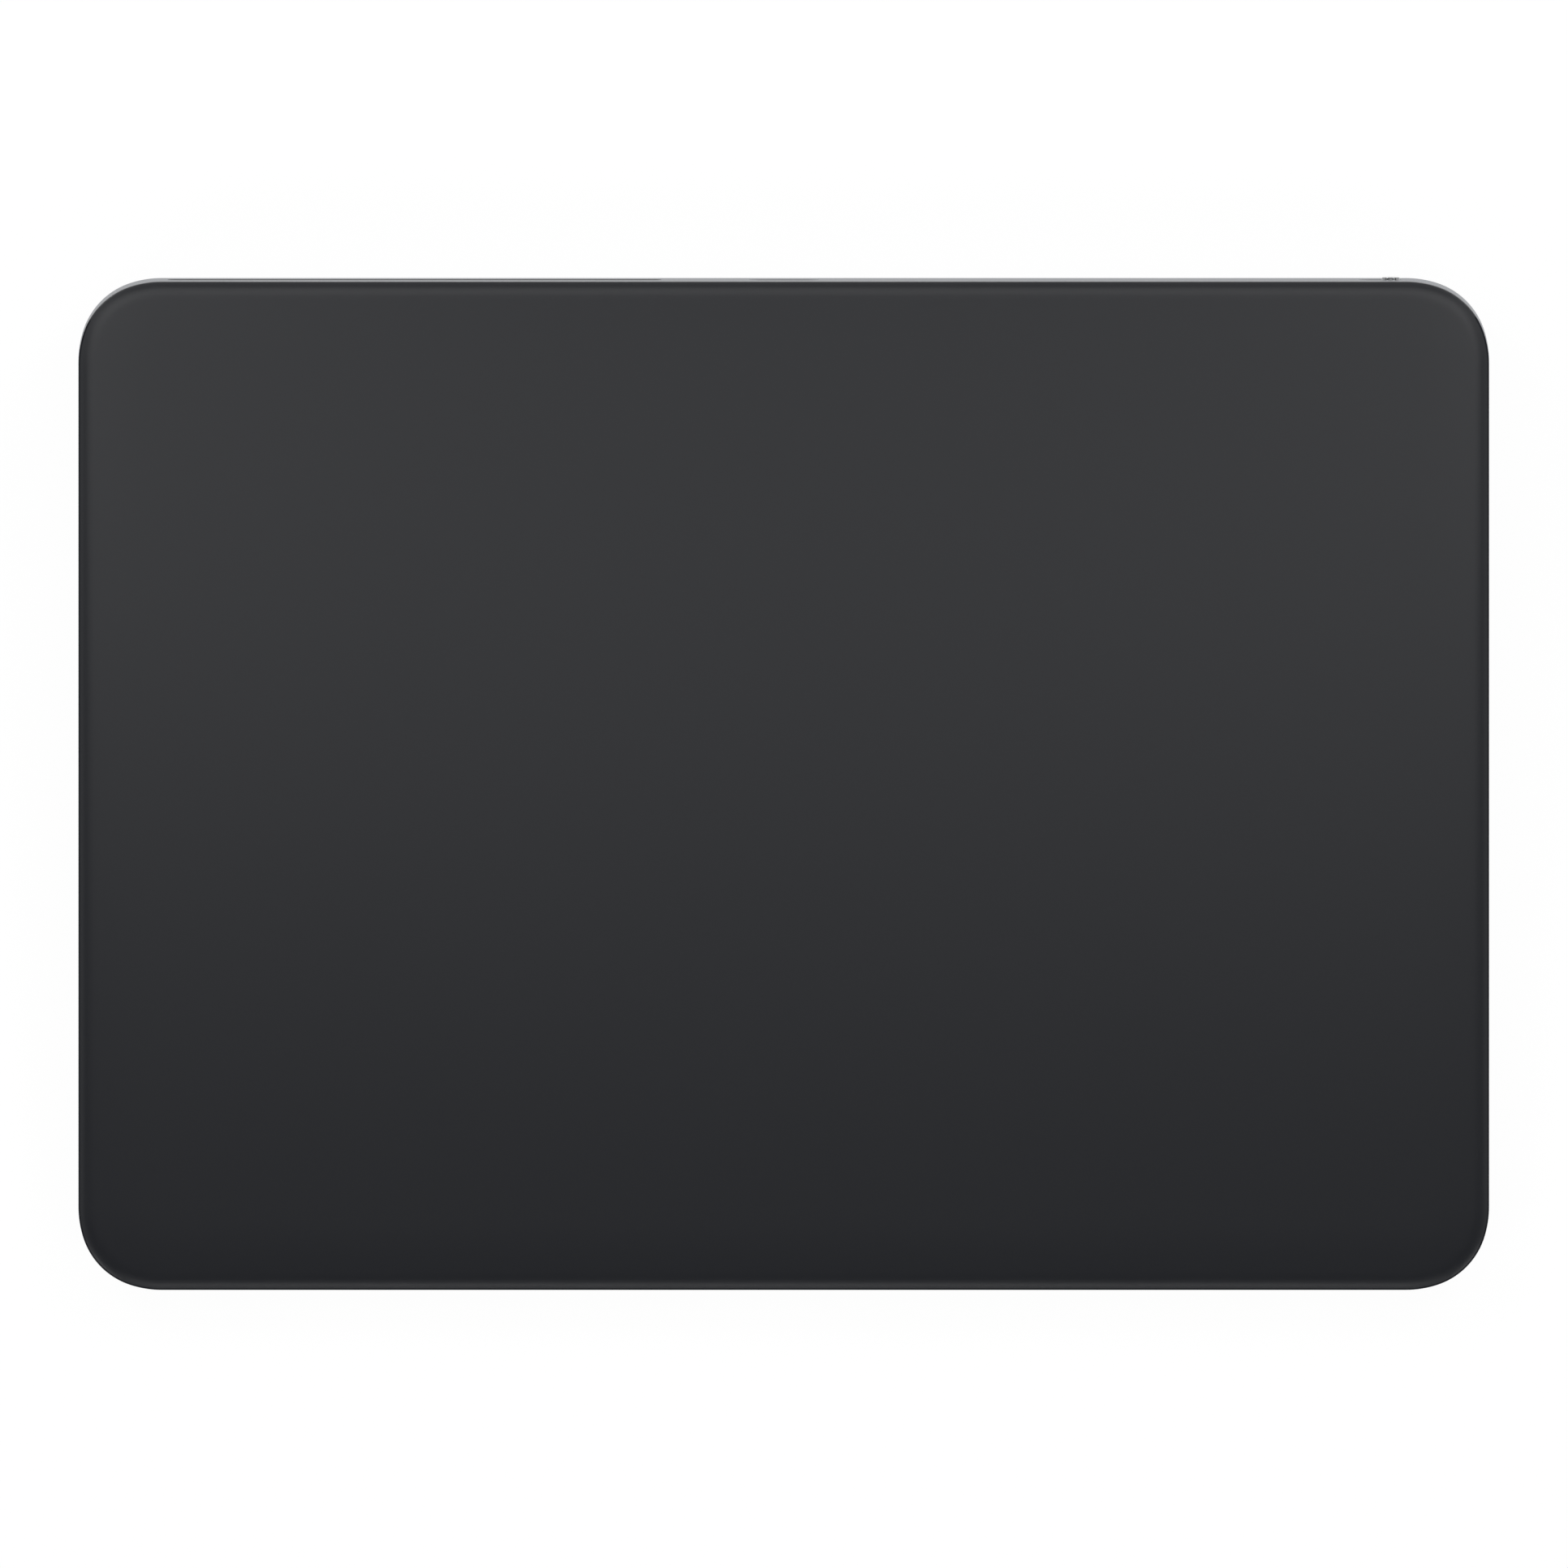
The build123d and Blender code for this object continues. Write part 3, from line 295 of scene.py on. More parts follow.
def tint(made, surface, pattern, first, second):
    """Colours the surface from one tone to another after a pattern."""
    tones = made.node_tree.nodes.new("ShaderNodeMix")
    tones.data_type = "RGBA"
    tones.inputs["A"].default_value = (*first, 1)
    tones.inputs["B"].default_value = (*second, 1)
    made.node_tree.links.new(pattern, tones.inputs["Factor"])
    made.node_tree.links.new(tones.outputs["Result"], surface.inputs["Base Color"])


def dull(made, surface, pattern, low, high):
    """Varies the roughness between two values after a pattern."""
    made.node_tree.links.new(spread(made, pattern, low, high), surface.inputs["Roughness"])


def emboss(made, surface, pattern, height, strength=0.5):
    """Raises the surface after a pattern, by a height in metres."""
    relief = made.node_tree.nodes.new("ShaderNodeBump")
    relief.inputs["Strength"].default_value = strength
    relief.inputs["Distance"].default_value = height
    made.node_tree.links.new(pattern, relief.inputs["Height"])
    made.node_tree.links.new(relief.outputs["Normal"], surface.inputs["Normal"])


def dress(made, *nodes):
    """Gives CAD pieces their finish."""
    for node in nodes:
        mesh = frame["nodes"][node].data
        mesh.materials.clear()
        mesh.materials.append(made)


def shown(name, mesh, crease=35):
    """Puts a mesh in the scene, smooth except where it turns by more than the crease angle."""
    mesh.shade_smooth()
    mesh.set_sharp_from_angle(angle=math.radians(crease))
    piece = bpy.data.objects.new(name, mesh)
    bpy.context.scene.collection.objects.link(piece)
    return piece


def opened(node, crease=35):
    """A CAD piece's mesh opened for cutting, with its sharp edges marked so that cuts keep them."""
    work = bmesh.new()
    work.from_mesh(frame["nodes"][node].data)
    bmesh.ops.remove_doubles(work, verts=work.verts, dist=weld_distance)
    for face in work.faces:
        face.smooth = True
    for edge in work.edges:
        edge.smooth = edge.calc_face_angle(0) < math.radians(crease)
    return work


def closed(name, work):
    """The cut mesh as a piece, shaded flat on its flat faces and smooth on its round ones."""
    mesh = bpy.data.meshes.new(name)
    work.to_mesh(mesh)
    work.free()
    piece = bpy.data.objects.new(name, mesh)
    bpy.context.scene.collection.objects.link(piece)
    piece.modifiers.new("flat_faces", "WEIGHTED_NORMAL").keep_sharp = True
    return piece


def corner_arcs():
    """The three arcs of a corner: each centre's insets, its radius, its first and last angle, its steps."""
    lead, tip, turn = corner_lead_radius, corner_tip_radius, corner_lead_angle
    slim = lead - (lead - tip) * (math.cos(turn) - math.sin(turn))
    middle = lead - (lead - tip) * math.cos(turn)
    return [
        (lead, slim, lead, 0, turn, lead_steps),
        (middle, middle, tip, turn, math.pi / 2 - turn, tip_steps),
        (slim, lead, lead, math.pi / 2 - turn, math.pi / 2, lead_steps),
    ]


def outline_at(x, y):
    """How far inside the body's outline a place on the deck is, and the direction that leads out there."""
    in_x, in_y = deck_half_width - abs(x), deck_half_length - abs(y)
    for centre_x, centre_y, radius, start, end, _ in corner_arcs():
        out_x, out_y = centre_x - in_x, centre_y - in_y
        angle = math.atan2(out_y, out_x)
        if out_x >= 0 and out_y >= 0 and start <= angle <= end:
            distance = math.hypot(out_x, out_y)
            return radius - distance, math.copysign(out_x / distance, x), math.copysign(out_y / distance, y)
    if in_x < in_y:
        return in_x, math.copysign(1, x), 0
    return in_y, 0, math.copysign(1, y)


def deck_place(point):
    """A point's place on the deck: its x, and how far behind the middle it is."""
    return point.x, (point - deck_middle).dot(deck_back)


def rounded_corners(name, node):
    """A CAD piece's mesh, cut finer where its walls turn the body's corners, so that they look round."""
    work = opened(node)
    kept = work.verts.layers.float.new("inset")
    for vertex in work.verts:
        vertex[kept] = outline_at(*deck_place(vertex.co))[0]
    for sx, sy in [(1, 1), (-1, 1), (-1, -1), (1, -1)]:
        faces = []
        for face in work.faces:
            spots = [(vertex[kept], deck_place(vertex.co)) for vertex in face.verts]
            if all(inset < corner_skin and sx * x > corner_start_x and sy * y > corner_start_y
                   for inset, (x, y) in spots):
                faces.append(face)
        wall = faces + list({edge for face in faces for edge in face.edges})
        wall += list({vertex for face in faces for vertex in face.verts})
        for in_x, in_y, _, start, end, steps in corner_arcs():
            pivot = Vector((sx * (deck_half_width - in_x), 0, 0))
            pivot += deck_middle + sy * (deck_half_length - in_y) * deck_back
            for n in range(steps + 1):
                angle = start + (end - start) * n / steps
                across = Vector((-sx * math.sin(angle), 0, 0)) + sy * math.cos(angle) * deck_back
                wall = bmesh.ops.bisect_plane(
                    work, geom=wall, dist=cut_distance, plane_co=pivot, plane_no=across
                )["geom"]
    for vertex in work.verts:
        x, y = deck_place(vertex.co)
        if vertex[kept] < corner_skin and abs(x) > corner_start_x and abs(y) > corner_start_y:
            inset, out_x, out_y = outline_at(x, y)
            vertex.co += (inset - vertex[kept]) * (Vector((out_x, 0, 0)) + out_y * deck_back)
    return closed(name, work)


def fit(piece, made, body, slot, *nodes):
    """Gives a piece its finish and its body, in place of the CAD nodes that it stands for."""
    piece.data.materials.append(made)
    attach(piece, body)
    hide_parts(*nodes)


blasted, surface = finish("blasted_alloy", alloy_grey, alloy_roughness[0], 1.0)
surface.inputs["Specular Tint"].default_value = (*alloy_sheen, 1)
blast = grain(blasted, blast_grains)
clouds = spread(blasted, grain(blasted, cloud_grains, detail=2.0), 0, 1)
tint(blasted, surface, clouds, alloy_grey, alloy_cloud)
dull(blasted, surface, blast, *alloy_roughness)
emboss(blasted, surface, blast, blast_depth)
fit(rounded_corners("milled_case", "base_case"), blasted, "base", "case_alloy", "base_case")

# Feet. Four round pads of grey silicone rubber, moulded with a soft edge and a shallow hollow in the
# sole. Each is held in its recess in the case's floor by a disc of black adhesive film.
rubber_grey = (0.16, 0.16, 0.165)
rubber_dusty = (0.2, 0.2, 0.2)
rubber_roughness = (0.62, 0.8)
rubber_grains = 3800
rubber_depth = 0.000012
dust_grains = 260
dust_range = (0.45, 0.75)
sole_middle = 0.0002
sole_hollow = 0.00006
sole_slope = 0.002
sole_slope_shares = [(0, 1), (0.6, 0.7), (1, 0.2), (1.15, 0)]
sole_edge = 0.0003
sole_edge_steps = 8
sole_rim = 0.0007
foot_wall_share = 0.6
foot_draft = 0.00006
foot_chamfer = 0.00005
foot_turns = 128
film_black = (0.03, 0.03, 0.032)
film_worn = (0.045, 0.045, 0.047)
film_roughness = (0.4, 0.6)
film_grains = 420
film_depth = 0.00002


def skin(name, rings, tube=False, crease=35):
    """A body stretched over rings of points, counterclockwise as seen from where the stack goes.

    Its ends are capped, or with tube the last ring joins the first.
    """
    count = len(rings[0])
    points = [point for ring in rings for point in ring]
    faces = []
    last = len(rings) if tube else len(rings) - 1
    for row in range(last):
        low, high = row * count, (row + 1) % len(rings) * count
        for n in range(count):
            after = (n + 1) % count
            faces.append((low + n, low + after, high + after, high + n))
    if not tube:
        faces.append(tuple(reversed(range(count))))
        faces.append(tuple(range(last * count, (last + 1) * count)))
    mesh = bpy.data.meshes.new(name)
    mesh.from_pydata(points, [], faces)
    return shown(name, mesh, crease)


def turned(name, profile, centre, axis, turns=96):
    """A turned body: a profile of radii and heights spun round an axis through a centre."""
    side = axis.orthogonal().normalized()
    other = axis.cross(side)
    rings = []
    for radius, along in profile:
        ring = []
        for n in range(turns):
            angle = 2 * math.pi * n / turns
            ring.append(centre + along * axis + radius * (math.cos(angle) * side + math.sin(angle) * other))
        rings.append(ring)
    return skin(name, rings)


rubber, surface = finish("foot_rubber", rubber_grey, rubber_roughness[0])
dust = spread(rubber, grain(rubber, dust_grains, detail=4.0), 0, 1, *dust_range)
tint(rubber, surface, dust, rubber_grey, rubber_dusty)
skin_grain = grain(rubber, rubber_grains)
dull(rubber, surface, skin_grain, *rubber_roughness)
emboss(rubber, surface, skin_grain, rubber_depth)
up = Vector((0, 0, 1))
for place in ("front_left", "front_right", "rear_left", "rear_right"):
    low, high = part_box("foot_" + place)
    radius, thickness = (high.x - low.x) / 2, high.z - low.z
    middle = Vector(((low.x + high.x) / 2, (low.y + high.y) / 2, low.z))
    flat = radius - sole_edge - sole_rim
    profile = [(sole_middle, sole_hollow)]
    for along, depth in sole_slope_shares:
        profile.append((flat - sole_slope * (1 - along), sole_hollow * depth))
    for n in range(sole_edge_steps + 1):
        angle = math.pi / 2 * n / sole_edge_steps
        profile.append((radius - sole_edge * (1 - math.sin(angle)), sole_edge * (1 - math.cos(angle))))
    profile.append((radius, thickness * foot_wall_share))
    profile.append((radius - foot_draft, thickness - foot_chamfer))
    profile.append((radius - foot_draft - foot_chamfer, thickness))
    foot = turned("rubber_foot_" + place, profile, middle, up, foot_turns)
    fit(foot, rubber, "base", "foot_rubber", "foot_" + place)

film, surface = finish("adhesive_film", film_black, film_roughness[0])
wrinkle = grain(film, film_grains, detail=4.0)
tint(film, surface, spread(film, wrinkle, 0, 1), film_black, film_worn)
dull(film, surface, wrinkle, *film_roughness)
emboss(film, surface, wrinkle, film_depth)
dress(film, "foot_tapes")

# Aerial. A strip of dark grey resin fills its slot flush with the back wall, so that the wireless
# signal gets out. Behind it a moulded carrier holds a copper foil pattern, and a fine lead feeds it.
window_grey = (0.018, 0.019, 0.02)
window_flow = (0.015, 0.016, 0.017)
window_gloss = 0.15
resin_grey = (0.18, 0.18, 0.18)
resin_flow = (0.155, 0.155, 0.158)
resin_depth = 0.000008
flow_grains = 180
flow_stretch = (0.3, 1, 1)
copper_red = (0.6, 0.25, 0.12)
copper_dark = (0.42, 0.16, 0.075)
stain_grains = 240
film_amber = (0.25, 0.1, 0.02)
trace_copper = (0.42, 0.19, 0.06)
trace_pitch = 0.0005
trace_height = 0.00001
trace_edge = (0.4, 0.6)
ribbon_roughness = (0.24, 0.4)
ribbon_grains = 900
ribbon_coat = 0.35
ribbon_coat_roughness = 0.12
wave_length = 2 * math.pi / 20


def stripes(made, pitch, axis):
    """Bands at a pitch in metres along an axis. The wave texture's own pitch is wave_length."""
    bands = made.node_tree.nodes.new("ShaderNodeTexWave")
    bands.bands_direction = axis
    bands.inputs["Scale"].default_value = wave_length / pitch
    made.node_tree.links.new(place_on(made), bands.inputs["Vector"])
    return bands.outputs["Fac"]


def ribbon_finish(name, pitch, axis):
    """Amber polyimide film over copper tracks that lie at a pitch along an axis."""
    made, surface = finish(name, film_amber, ribbon_roughness[0])
    surface.inputs["Coat Weight"].default_value = ribbon_coat
    surface.inputs["Coat Roughness"].default_value = ribbon_coat_roughness
    tracks = spread(made, stripes(made, pitch, axis), 0, 1, *trace_edge)
    tint(made, surface, tracks, film_amber, trace_copper)
    dull(made, surface, grain(made, ribbon_grains), *ribbon_roughness)
    emboss(made, surface, tracks, trace_height)
    return made


def resin_finish(name, tone, flow, roughness, grains=6000, gloss=0.5):
    """Moulded resin with a spark-eroded skin and faint flow marks."""
    made, surface = finish(name, tone, roughness[0])
    surface.inputs["Specular IOR Level"].default_value = gloss
    marks = spread(made, grain(made, flow_grains, detail=2.0, stretch=flow_stretch), 0, 1)
    tint(made, surface, marks, tone, flow)
    skin_grain = grain(made, grains)
    dull(made, surface, skin_grain, *roughness)
    emboss(made, surface, skin_grain, resin_depth)
    return made


def metal_finish(name, tone, stain, roughness, grains=1500, stretch=(1, 1, 1), depth=0.000003):
    """Bare or plated metal, with rolling marks drawn out along one axis and faint stains."""
    made, surface = finish(name, tone, roughness[0], 1.0)
    marks = grain(made, grains, stretch=stretch)
    tint(made, surface, spread(made, grain(made, stain_grains), 0, 1), tone, stain)
    dull(made, surface, marks, *roughness)
    emboss(made, surface, marks, depth)
    return made


window_resin = resin_finish(
    "window_resin", window_grey, window_flow, roughness=(0.6, 0.72), grains=4200, gloss=window_gloss
)
dress(window_resin, "aerial_window")
moulding = resin_finish("grey_moulding", resin_grey, resin_flow, roughness=(0.42, 0.58))
dress(moulding, "aerial_carrier")
foil = metal_finish(
    "aerial_copper", copper_red, copper_dark, roughness=(0.22, 0.4), grains=2600, stretch=(0.04, 1, 1)
)
dress(foil, "aerial_foil")
dress(ribbon_finish("lead_ribbon", trace_pitch, "Z"), "aerial_lead")

# Charging port. A drawn stainless sleeve holds a moulded tongue with gold-plated contacts. A bent
# saddle clamps it to the case's bosses with two screws.
port_steel = (0.35, 0.35, 0.36)
port_stain = (0.3, 0.3, 0.315)
gold = (0.85, 0.6, 0.25)
gold_deep = (0.76, 0.5, 0.17)
socket_black = (0.02, 0.02, 0.02)
socket_flow = (0.027, 0.027, 0.028)
screw_grey = (0.3, 0.3, 0.31)
screw_blue = (0.24, 0.245, 0.27)

drawn = metal_finish(
    "drawn_stainless", port_steel, port_stain, roughness=(0.25, 0.4), grains=3200, stretch=(1, 0.05, 1)
)
dress(drawn, "port_shell")
bent = metal_finish(
    "bent_stainless", port_steel, port_stain, roughness=(0.28, 0.44), grains=2400, stretch=(0.05, 1, 1)
)
dress(bent, "port_saddle")
socket_moulding = resin_finish(
    "socket_moulding", socket_black, socket_flow, roughness=(0.38, 0.5), grains=7000
)
dress(socket_moulding, "port_insulator")
plating = metal_finish("gold_plating", gold, gold_deep, roughness=(0.18, 0.3), grains=5000)
dress(plating, "port_contacts")
screw_finish = metal_finish(
    "plated_screw", screw_grey, screw_blue, roughness=(0.24, 0.34), grains=1600, stretch=(1, 1, 0.3),
    depth=0.000001,
)
dress(screw_finish, "saddle_screws")

# Power switch. A turned aluminium knob slides in a slot of the back wall, on a moulded carriage that
# shows a green flag when it is on and carries a copper wiper over the switch's gold terminals.
knob_bright = (0.27, 0.274, 0.282)
knob_worn = (0.235, 0.24, 0.248)
knob_roughness = (0.1, 0.18)
knob_grains = 1800
knob_back_chamfer = 0.0001
knob_chamfer = 0.00005
knob_chamfer_shares = (0.3, 0.35)
knob_dish = 0.00005
knob_dish_steps = 12
knob_land = 0.00012
spin_pitch = 0.00005
spin_depth = 0.000002
flag_green = (0.05, 0.5, 0.08)
flag_deep = (0.035, 0.4, 0.06)
print_roughness = (0.38, 0.52)
print_grains = 2600
print_depth = 0.000006

dress(moulding, "switch_housing", "switch_carriage")
dress(plating, "switch_terminals")
dress(foil, "switch_wiper")
printed, surface = finish("green_print", flag_green, print_roughness[0])
ink = grain(printed, print_grains)
tint(printed, surface, spread(printed, ink, 0, 1), flag_green, flag_deep)
dull(printed, surface, ink, *print_roughness)
emboss(printed, surface, ink, print_depth)
dress(printed, "on_flag")

knob_start, knob_end = reach("power_knob", deck_back)
knob_down, knob_up = reach("power_knob", deck_out)
knob_left, knob_right = reach("power_knob", Vector((1, 0, 0)))
knob_radius = (knob_right - knob_left) / 2
knob_centre = Vector(((knob_left + knob_right) / 2, 0, 0)) + (knob_down + knob_up) / 2 * deck_out
knob_length = knob_end - knob_start
chamfer_in, chamfer_down = [share * knob_chamfer for share in knob_chamfer_shares]
dish_radius = knob_radius - knob_chamfer - knob_land
profile = [
    (knob_radius - knob_back_chamfer, 0),
    (knob_radius, knob_back_chamfer),
    (knob_radius, knob_length - knob_chamfer),
    (knob_radius - chamfer_in, knob_length - chamfer_down),
    (knob_radius - knob_chamfer, knob_length),
    (dish_radius, knob_length),
]
for n in range(1, knob_dish_steps):
    out = 1 - n / knob_dish_steps
    profile.append((dish_radius * out, knob_length - knob_dish * (1 - out**2)))
knob = turned("turned_knob", profile, knob_centre + knob_start * deck_back, deck_back)
spun, surface = finish("spun_alloy", knob_bright, knob_roughness[0], 1.0)
rings = spun.node_tree.nodes.new("ShaderNodeTexWave")
rings.wave_type = "RINGS"
rings.rings_direction = "Y"
rings.inputs["Scale"].default_value = wave_length / spin_pitch
face = knob_centre + knob_end * deck_back
spun.node_tree.links.new(place_on(spun, shift=(-face.x, 0, -face.z)), rings.inputs["Vector"])
tint(spun, surface, spread(spun, grain(spun, knob_grains), 0, 1), knob_bright, knob_worn)
dull(spun, surface, rings.outputs["Fac"], *knob_roughness)
emboss(spun, surface, rings.outputs["Fac"], spin_depth, strength=0.4)
fit(knob, spun, "power_slider", "knob_alloy", "power_knob")

# Battery. A flat lithium pouch in black laminate lies on an adhesive sheet. Its guard board and a
# folded ribbon join it to the logic board.
pouch_black = (0.03, 0.03, 0.033)
pouch_worn = (0.05, 0.05, 0.054)
pouch_roughness = (0.32, 0.46)
pouch_grains = 3000
crinkle_grains = 330
crinkle_depth = 0.00005
mask_green = (0.012, 0.03, 0.02)
mask_track = (0.026, 0.066, 0.04)
mask_roughness = (0.34, 0.46)
mask_grains = 2400
mask_pitch = 0.0011
track_width_share = 0.09
track_blur = 0.1
track_height = 0.000015
hole_cells = 0.8
hole_edge = (0.09, 0.115)
hole_facing = (0.7, 0.8)
wide_trace_pitch = 0.0006

dress(film, "battery_tape")
pouch, surface = finish("pouch_laminate", pouch_black, pouch_roughness[0])
crinkle = grain(pouch, crinkle_grains, detail=5.0)
tint(pouch, surface, spread(pouch, crinkle, 0, 1), pouch_black, pouch_worn)
dull(pouch, surface, grain(pouch, pouch_grains, detail=2.0), *pouch_roughness)
emboss(pouch, surface, crinkle, crinkle_depth, strength=0.6)
dress(pouch, "battery_cell")


def board_finish(name, pitch):
    """Dark green solder mask over copper tracks on a grid, with gold-plated holes in its two faces."""
    made, surface = finish(name, mask_green, mask_roughness[0])
    nodes, links = made.node_tree.nodes, made.node_tree.links
    tracks = nodes.new("ShaderNodeTexBrick")
    tracks.inputs["Scale"].default_value = 1 / pitch
    tracks.inputs["Mortar Size"].default_value = track_width_share
    tracks.inputs["Mortar Smooth"].default_value = track_blur
    links.new(place_on(made), tracks.inputs["Vector"])
    cells = nodes.new("ShaderNodeTexVoronoi")
    cells.voronoi_dimensions = "2D"
    cells.inputs["Scale"].default_value = hole_cells / pitch
    links.new(place_on(made), cells.inputs["Vector"])
    facing = nodes.new("ShaderNodeSeparateXYZ")
    links.new(nodes.new("ShaderNodeTexCoord").outputs["Normal"], facing.inputs["Vector"])
    level = nodes.new("ShaderNodeMath")
    level.operation = "ABSOLUTE"
    links.new(facing.outputs["Z"], level.inputs[0])
    on_face = nodes.new("ShaderNodeMath")
    on_face.operation = "MULTIPLY"
    links.new(spread(made, level.outputs[0], 0, 1, *hole_facing), on_face.inputs[0])
    links.new(spread(made, cells.outputs["Distance"], 1, 0, *hole_edge), on_face.inputs[1])
    holes = on_face.outputs[0]
    base = nodes.new("ShaderNodeMix")
    base.data_type = "RGBA"
    base.inputs["A"].default_value = (*mask_green, 1)
    base.inputs["B"].default_value = (*mask_track, 1)
    links.new(tracks.outputs["Fac"], base.inputs["Factor"])
    plated = nodes.new("ShaderNodeMix")
    plated.data_type = "RGBA"
    plated.inputs["B"].default_value = (*gold, 1)
    links.new(holes, plated.inputs["Factor"])
    links.new(base.outputs["Result"], plated.inputs["A"])
    links.new(plated.outputs["Result"], surface.inputs["Base Color"])
    links.new(holes, surface.inputs["Metallic"])
    dull(made, surface, grain(made, mask_grains), *mask_roughness)
    emboss(made, surface, tracks.outputs["Fac"], track_height)
    return made


masked = board_finish("masked_board", mask_pitch)
dress(masked, "battery_guard_board")
wide_ribbon = ribbon_finish("wide_ribbon", wide_trace_pitch, "X")
dress(wide_ribbon, "battery_lead")

# Logic board. A long green circuit board along the back wall, with its chips under a tinned shield
# can, three ribbon sockets with gold contacts, four plated screws, and rows of tiny soldered parts.
tin = (0.55, 0.55, 0.53)
tin_dull = (0.46, 0.46, 0.445)
chip_black = (0.015, 0.015, 0.016)
chip_worn = (0.021, 0.021, 0.022)
contact_pitch = 0.0004
contact_edge = (0.62, 0.7)
contact_height = 0.00002
socket_roughness = (0.3, 0.45)
socket_grains = 5000
ceramic_tan = (0.26, 0.17, 0.1)
ceramic_pale = (0.32, 0.22, 0.14)
part_pitch = (0.00165, 0.00115)
part_width = 0.0005
part_body_inset = 0.00002
tinned_end = 0.00024
part_fields = [
    (0.0145, 0.0395, 0.0441, 0.0462),
    (0.042, 0.0505, 0.0444, 0.0538),
    (0.0515, 0.062, 0.0486, 0.0538),
    (0.0695, 0.0755, 0.047, 0.05),
]
part_kinds = [("capacitor", 0.001, 0.0005), ("resistor", 0.001, 0.00032), ("capacitor", 0.0012, 0.0006)]
empty_kinds = 2

dress(masked, "logic_board")
chip_moulding = resin_finish("chip_moulding", chip_black, chip_worn, roughness=(0.45, 0.6), grains=9000)
dress(chip_moulding, "board_chips")
tinned_sheet = metal_finish(
    "tinned_sheet", tin, tin_dull, roughness=(0.26, 0.42), grains=1800, stretch=(0.06, 1, 1)
)
dress(tinned_sheet, "shield_can")
dress(screw_finish, "board_screws")
sockets, surface = finish("ribbon_socket", socket_black, socket_roughness[0])
pins = spread(sockets, stripes(sockets, contact_pitch, "X"), 0, 1, *contact_edge)
tint(sockets, surface, pins, socket_black, gold)
sockets.node_tree.links.new(pins, surface.inputs["Metallic"])
dull(sockets, surface, grain(sockets, socket_grains, detail=2.0), *socket_roughness)
emboss(sockets, surface, pins, contact_height)
dress(sockets, "board_connectors")


def blocks(name, boxes):
    """Small square-edged blocks on the deck's slope, from their lows and highs across, back and out."""
    points, faces = [], []
    for low, high in boxes:
        first = len(points)
        for x, back, out in itertools.product(*zip(low, high)):
            points.append(Vector((x, 0, 0)) + back * deck_back + out * deck_out)
        for face in ((0, 1, 3, 2), (4, 6, 7, 5), (0, 4, 5, 1), (2, 3, 7, 6), (0, 2, 6, 4), (1, 5, 7, 3)):
            faces.append([first + corner for corner in face])
    mesh = bpy.data.meshes.new(name)
    mesh.from_pydata(points, [], faces)
    return shown(name, mesh)


random.seed(7)
board_top = reach("logic_board", deck_out)[1]
bodies = {"capacitor": [], "resistor": []}
ends = []
for left, right, near, far in part_fields:
    columns = int((right - left) / part_pitch[0])
    rows = int((far - near) / part_pitch[1])
    for column, row in itertools.product(range(columns), range(rows)):
        kind = random.randrange(len(part_kinds) + empty_kinds)
        if kind >= len(part_kinds):
            continue
        sort, length, tall = part_kinds[kind]
        start, back = left + column * part_pitch[0], near + row * part_pitch[1]
        end, front = start + length, back + part_width
        low, high = board_top, board_top + tall
        body_low = (start + tinned_end, back + part_body_inset, low)
        body_high = (end - tinned_end, front - part_body_inset, high - part_body_inset)
        bodies[sort].append((body_low, body_high))
        ends.append(((start, back, low), (start + tinned_end, front, high)))
        ends.append(((end - tinned_end, back, low), (end, front, high)))
ceramic = resin_finish("tan_ceramic", ceramic_tan, ceramic_pale, roughness=(0.4, 0.55), grains=9000)
tinned = metal_finish("tinned_end", tin, tin_dull, roughness=(0.3, 0.45), grains=5000)
for name, boxes, made, slot in [
    ("small_capacitors", bodies["capacitor"], ceramic, "chip_resin"),
    ("small_resistors", bodies["resistor"], chip_moulding, "chip_resin"),
    ("soldered_ends", ends, tinned, "tin_plate"),
]:
    fit(blocks(name, boxes), made, "base", slot)

# Haptic actuator. Two cores of stacked iron sheets stand on a steel plate, with a winding of
# enamelled wire round each leg. They pull the bars of the touch deck from side to side.
steel = (0.45, 0.45, 0.45)
steel_stain = (0.39, 0.39, 0.395)
iron = (0.2, 0.2, 0.2)
iron_dark = (0.11, 0.11, 0.112)
iron_roughness = (0.35, 0.55)
iron_grains = 1500
sheet_pitch = 0.00035
sheet_height = 0.00002
enamel_roughness = (0.2, 0.34)
enamel_grains = 6000
enamel_clouds = 900
enamel_coat = 0.6
enamel_coat_roughness = 0.15
scrape_grains = 5000
scrape_depth = 0.000004
wire_radius = 0.0001
wire_sides = 8
turn_room = 1.04
turn_points = 40
winding_corner = 0.0007
sleeve_outer = (0.00015, 0.0006)
sleeve_inner = (0.00045, 0.0003)
sleeve_points = 48
sleeve_pitch = 0.002

rolled = metal_finish(
    "rolled_stainless", steel, steel_stain, roughness=(0.28, 0.42), grains=1500, stretch=(0.04, 1, 1)
)
dress(rolled, "haptic_plate")
laminated, surface = finish("stacked_iron", iron, iron_roughness[0], 1.0)
sheets = stripes(laminated, sheet_pitch, "Z")
tint(laminated, surface, sheets, iron_dark, iron)
dull(laminated, surface, grain(laminated, iron_grains), *iron_roughness)
emboss(laminated, surface, sheets, sheet_height)
dress(laminated, "haptic_cores")
dress(screw_finish, "haptic_screws")
dress(wide_ribbon, "haptic_flex")

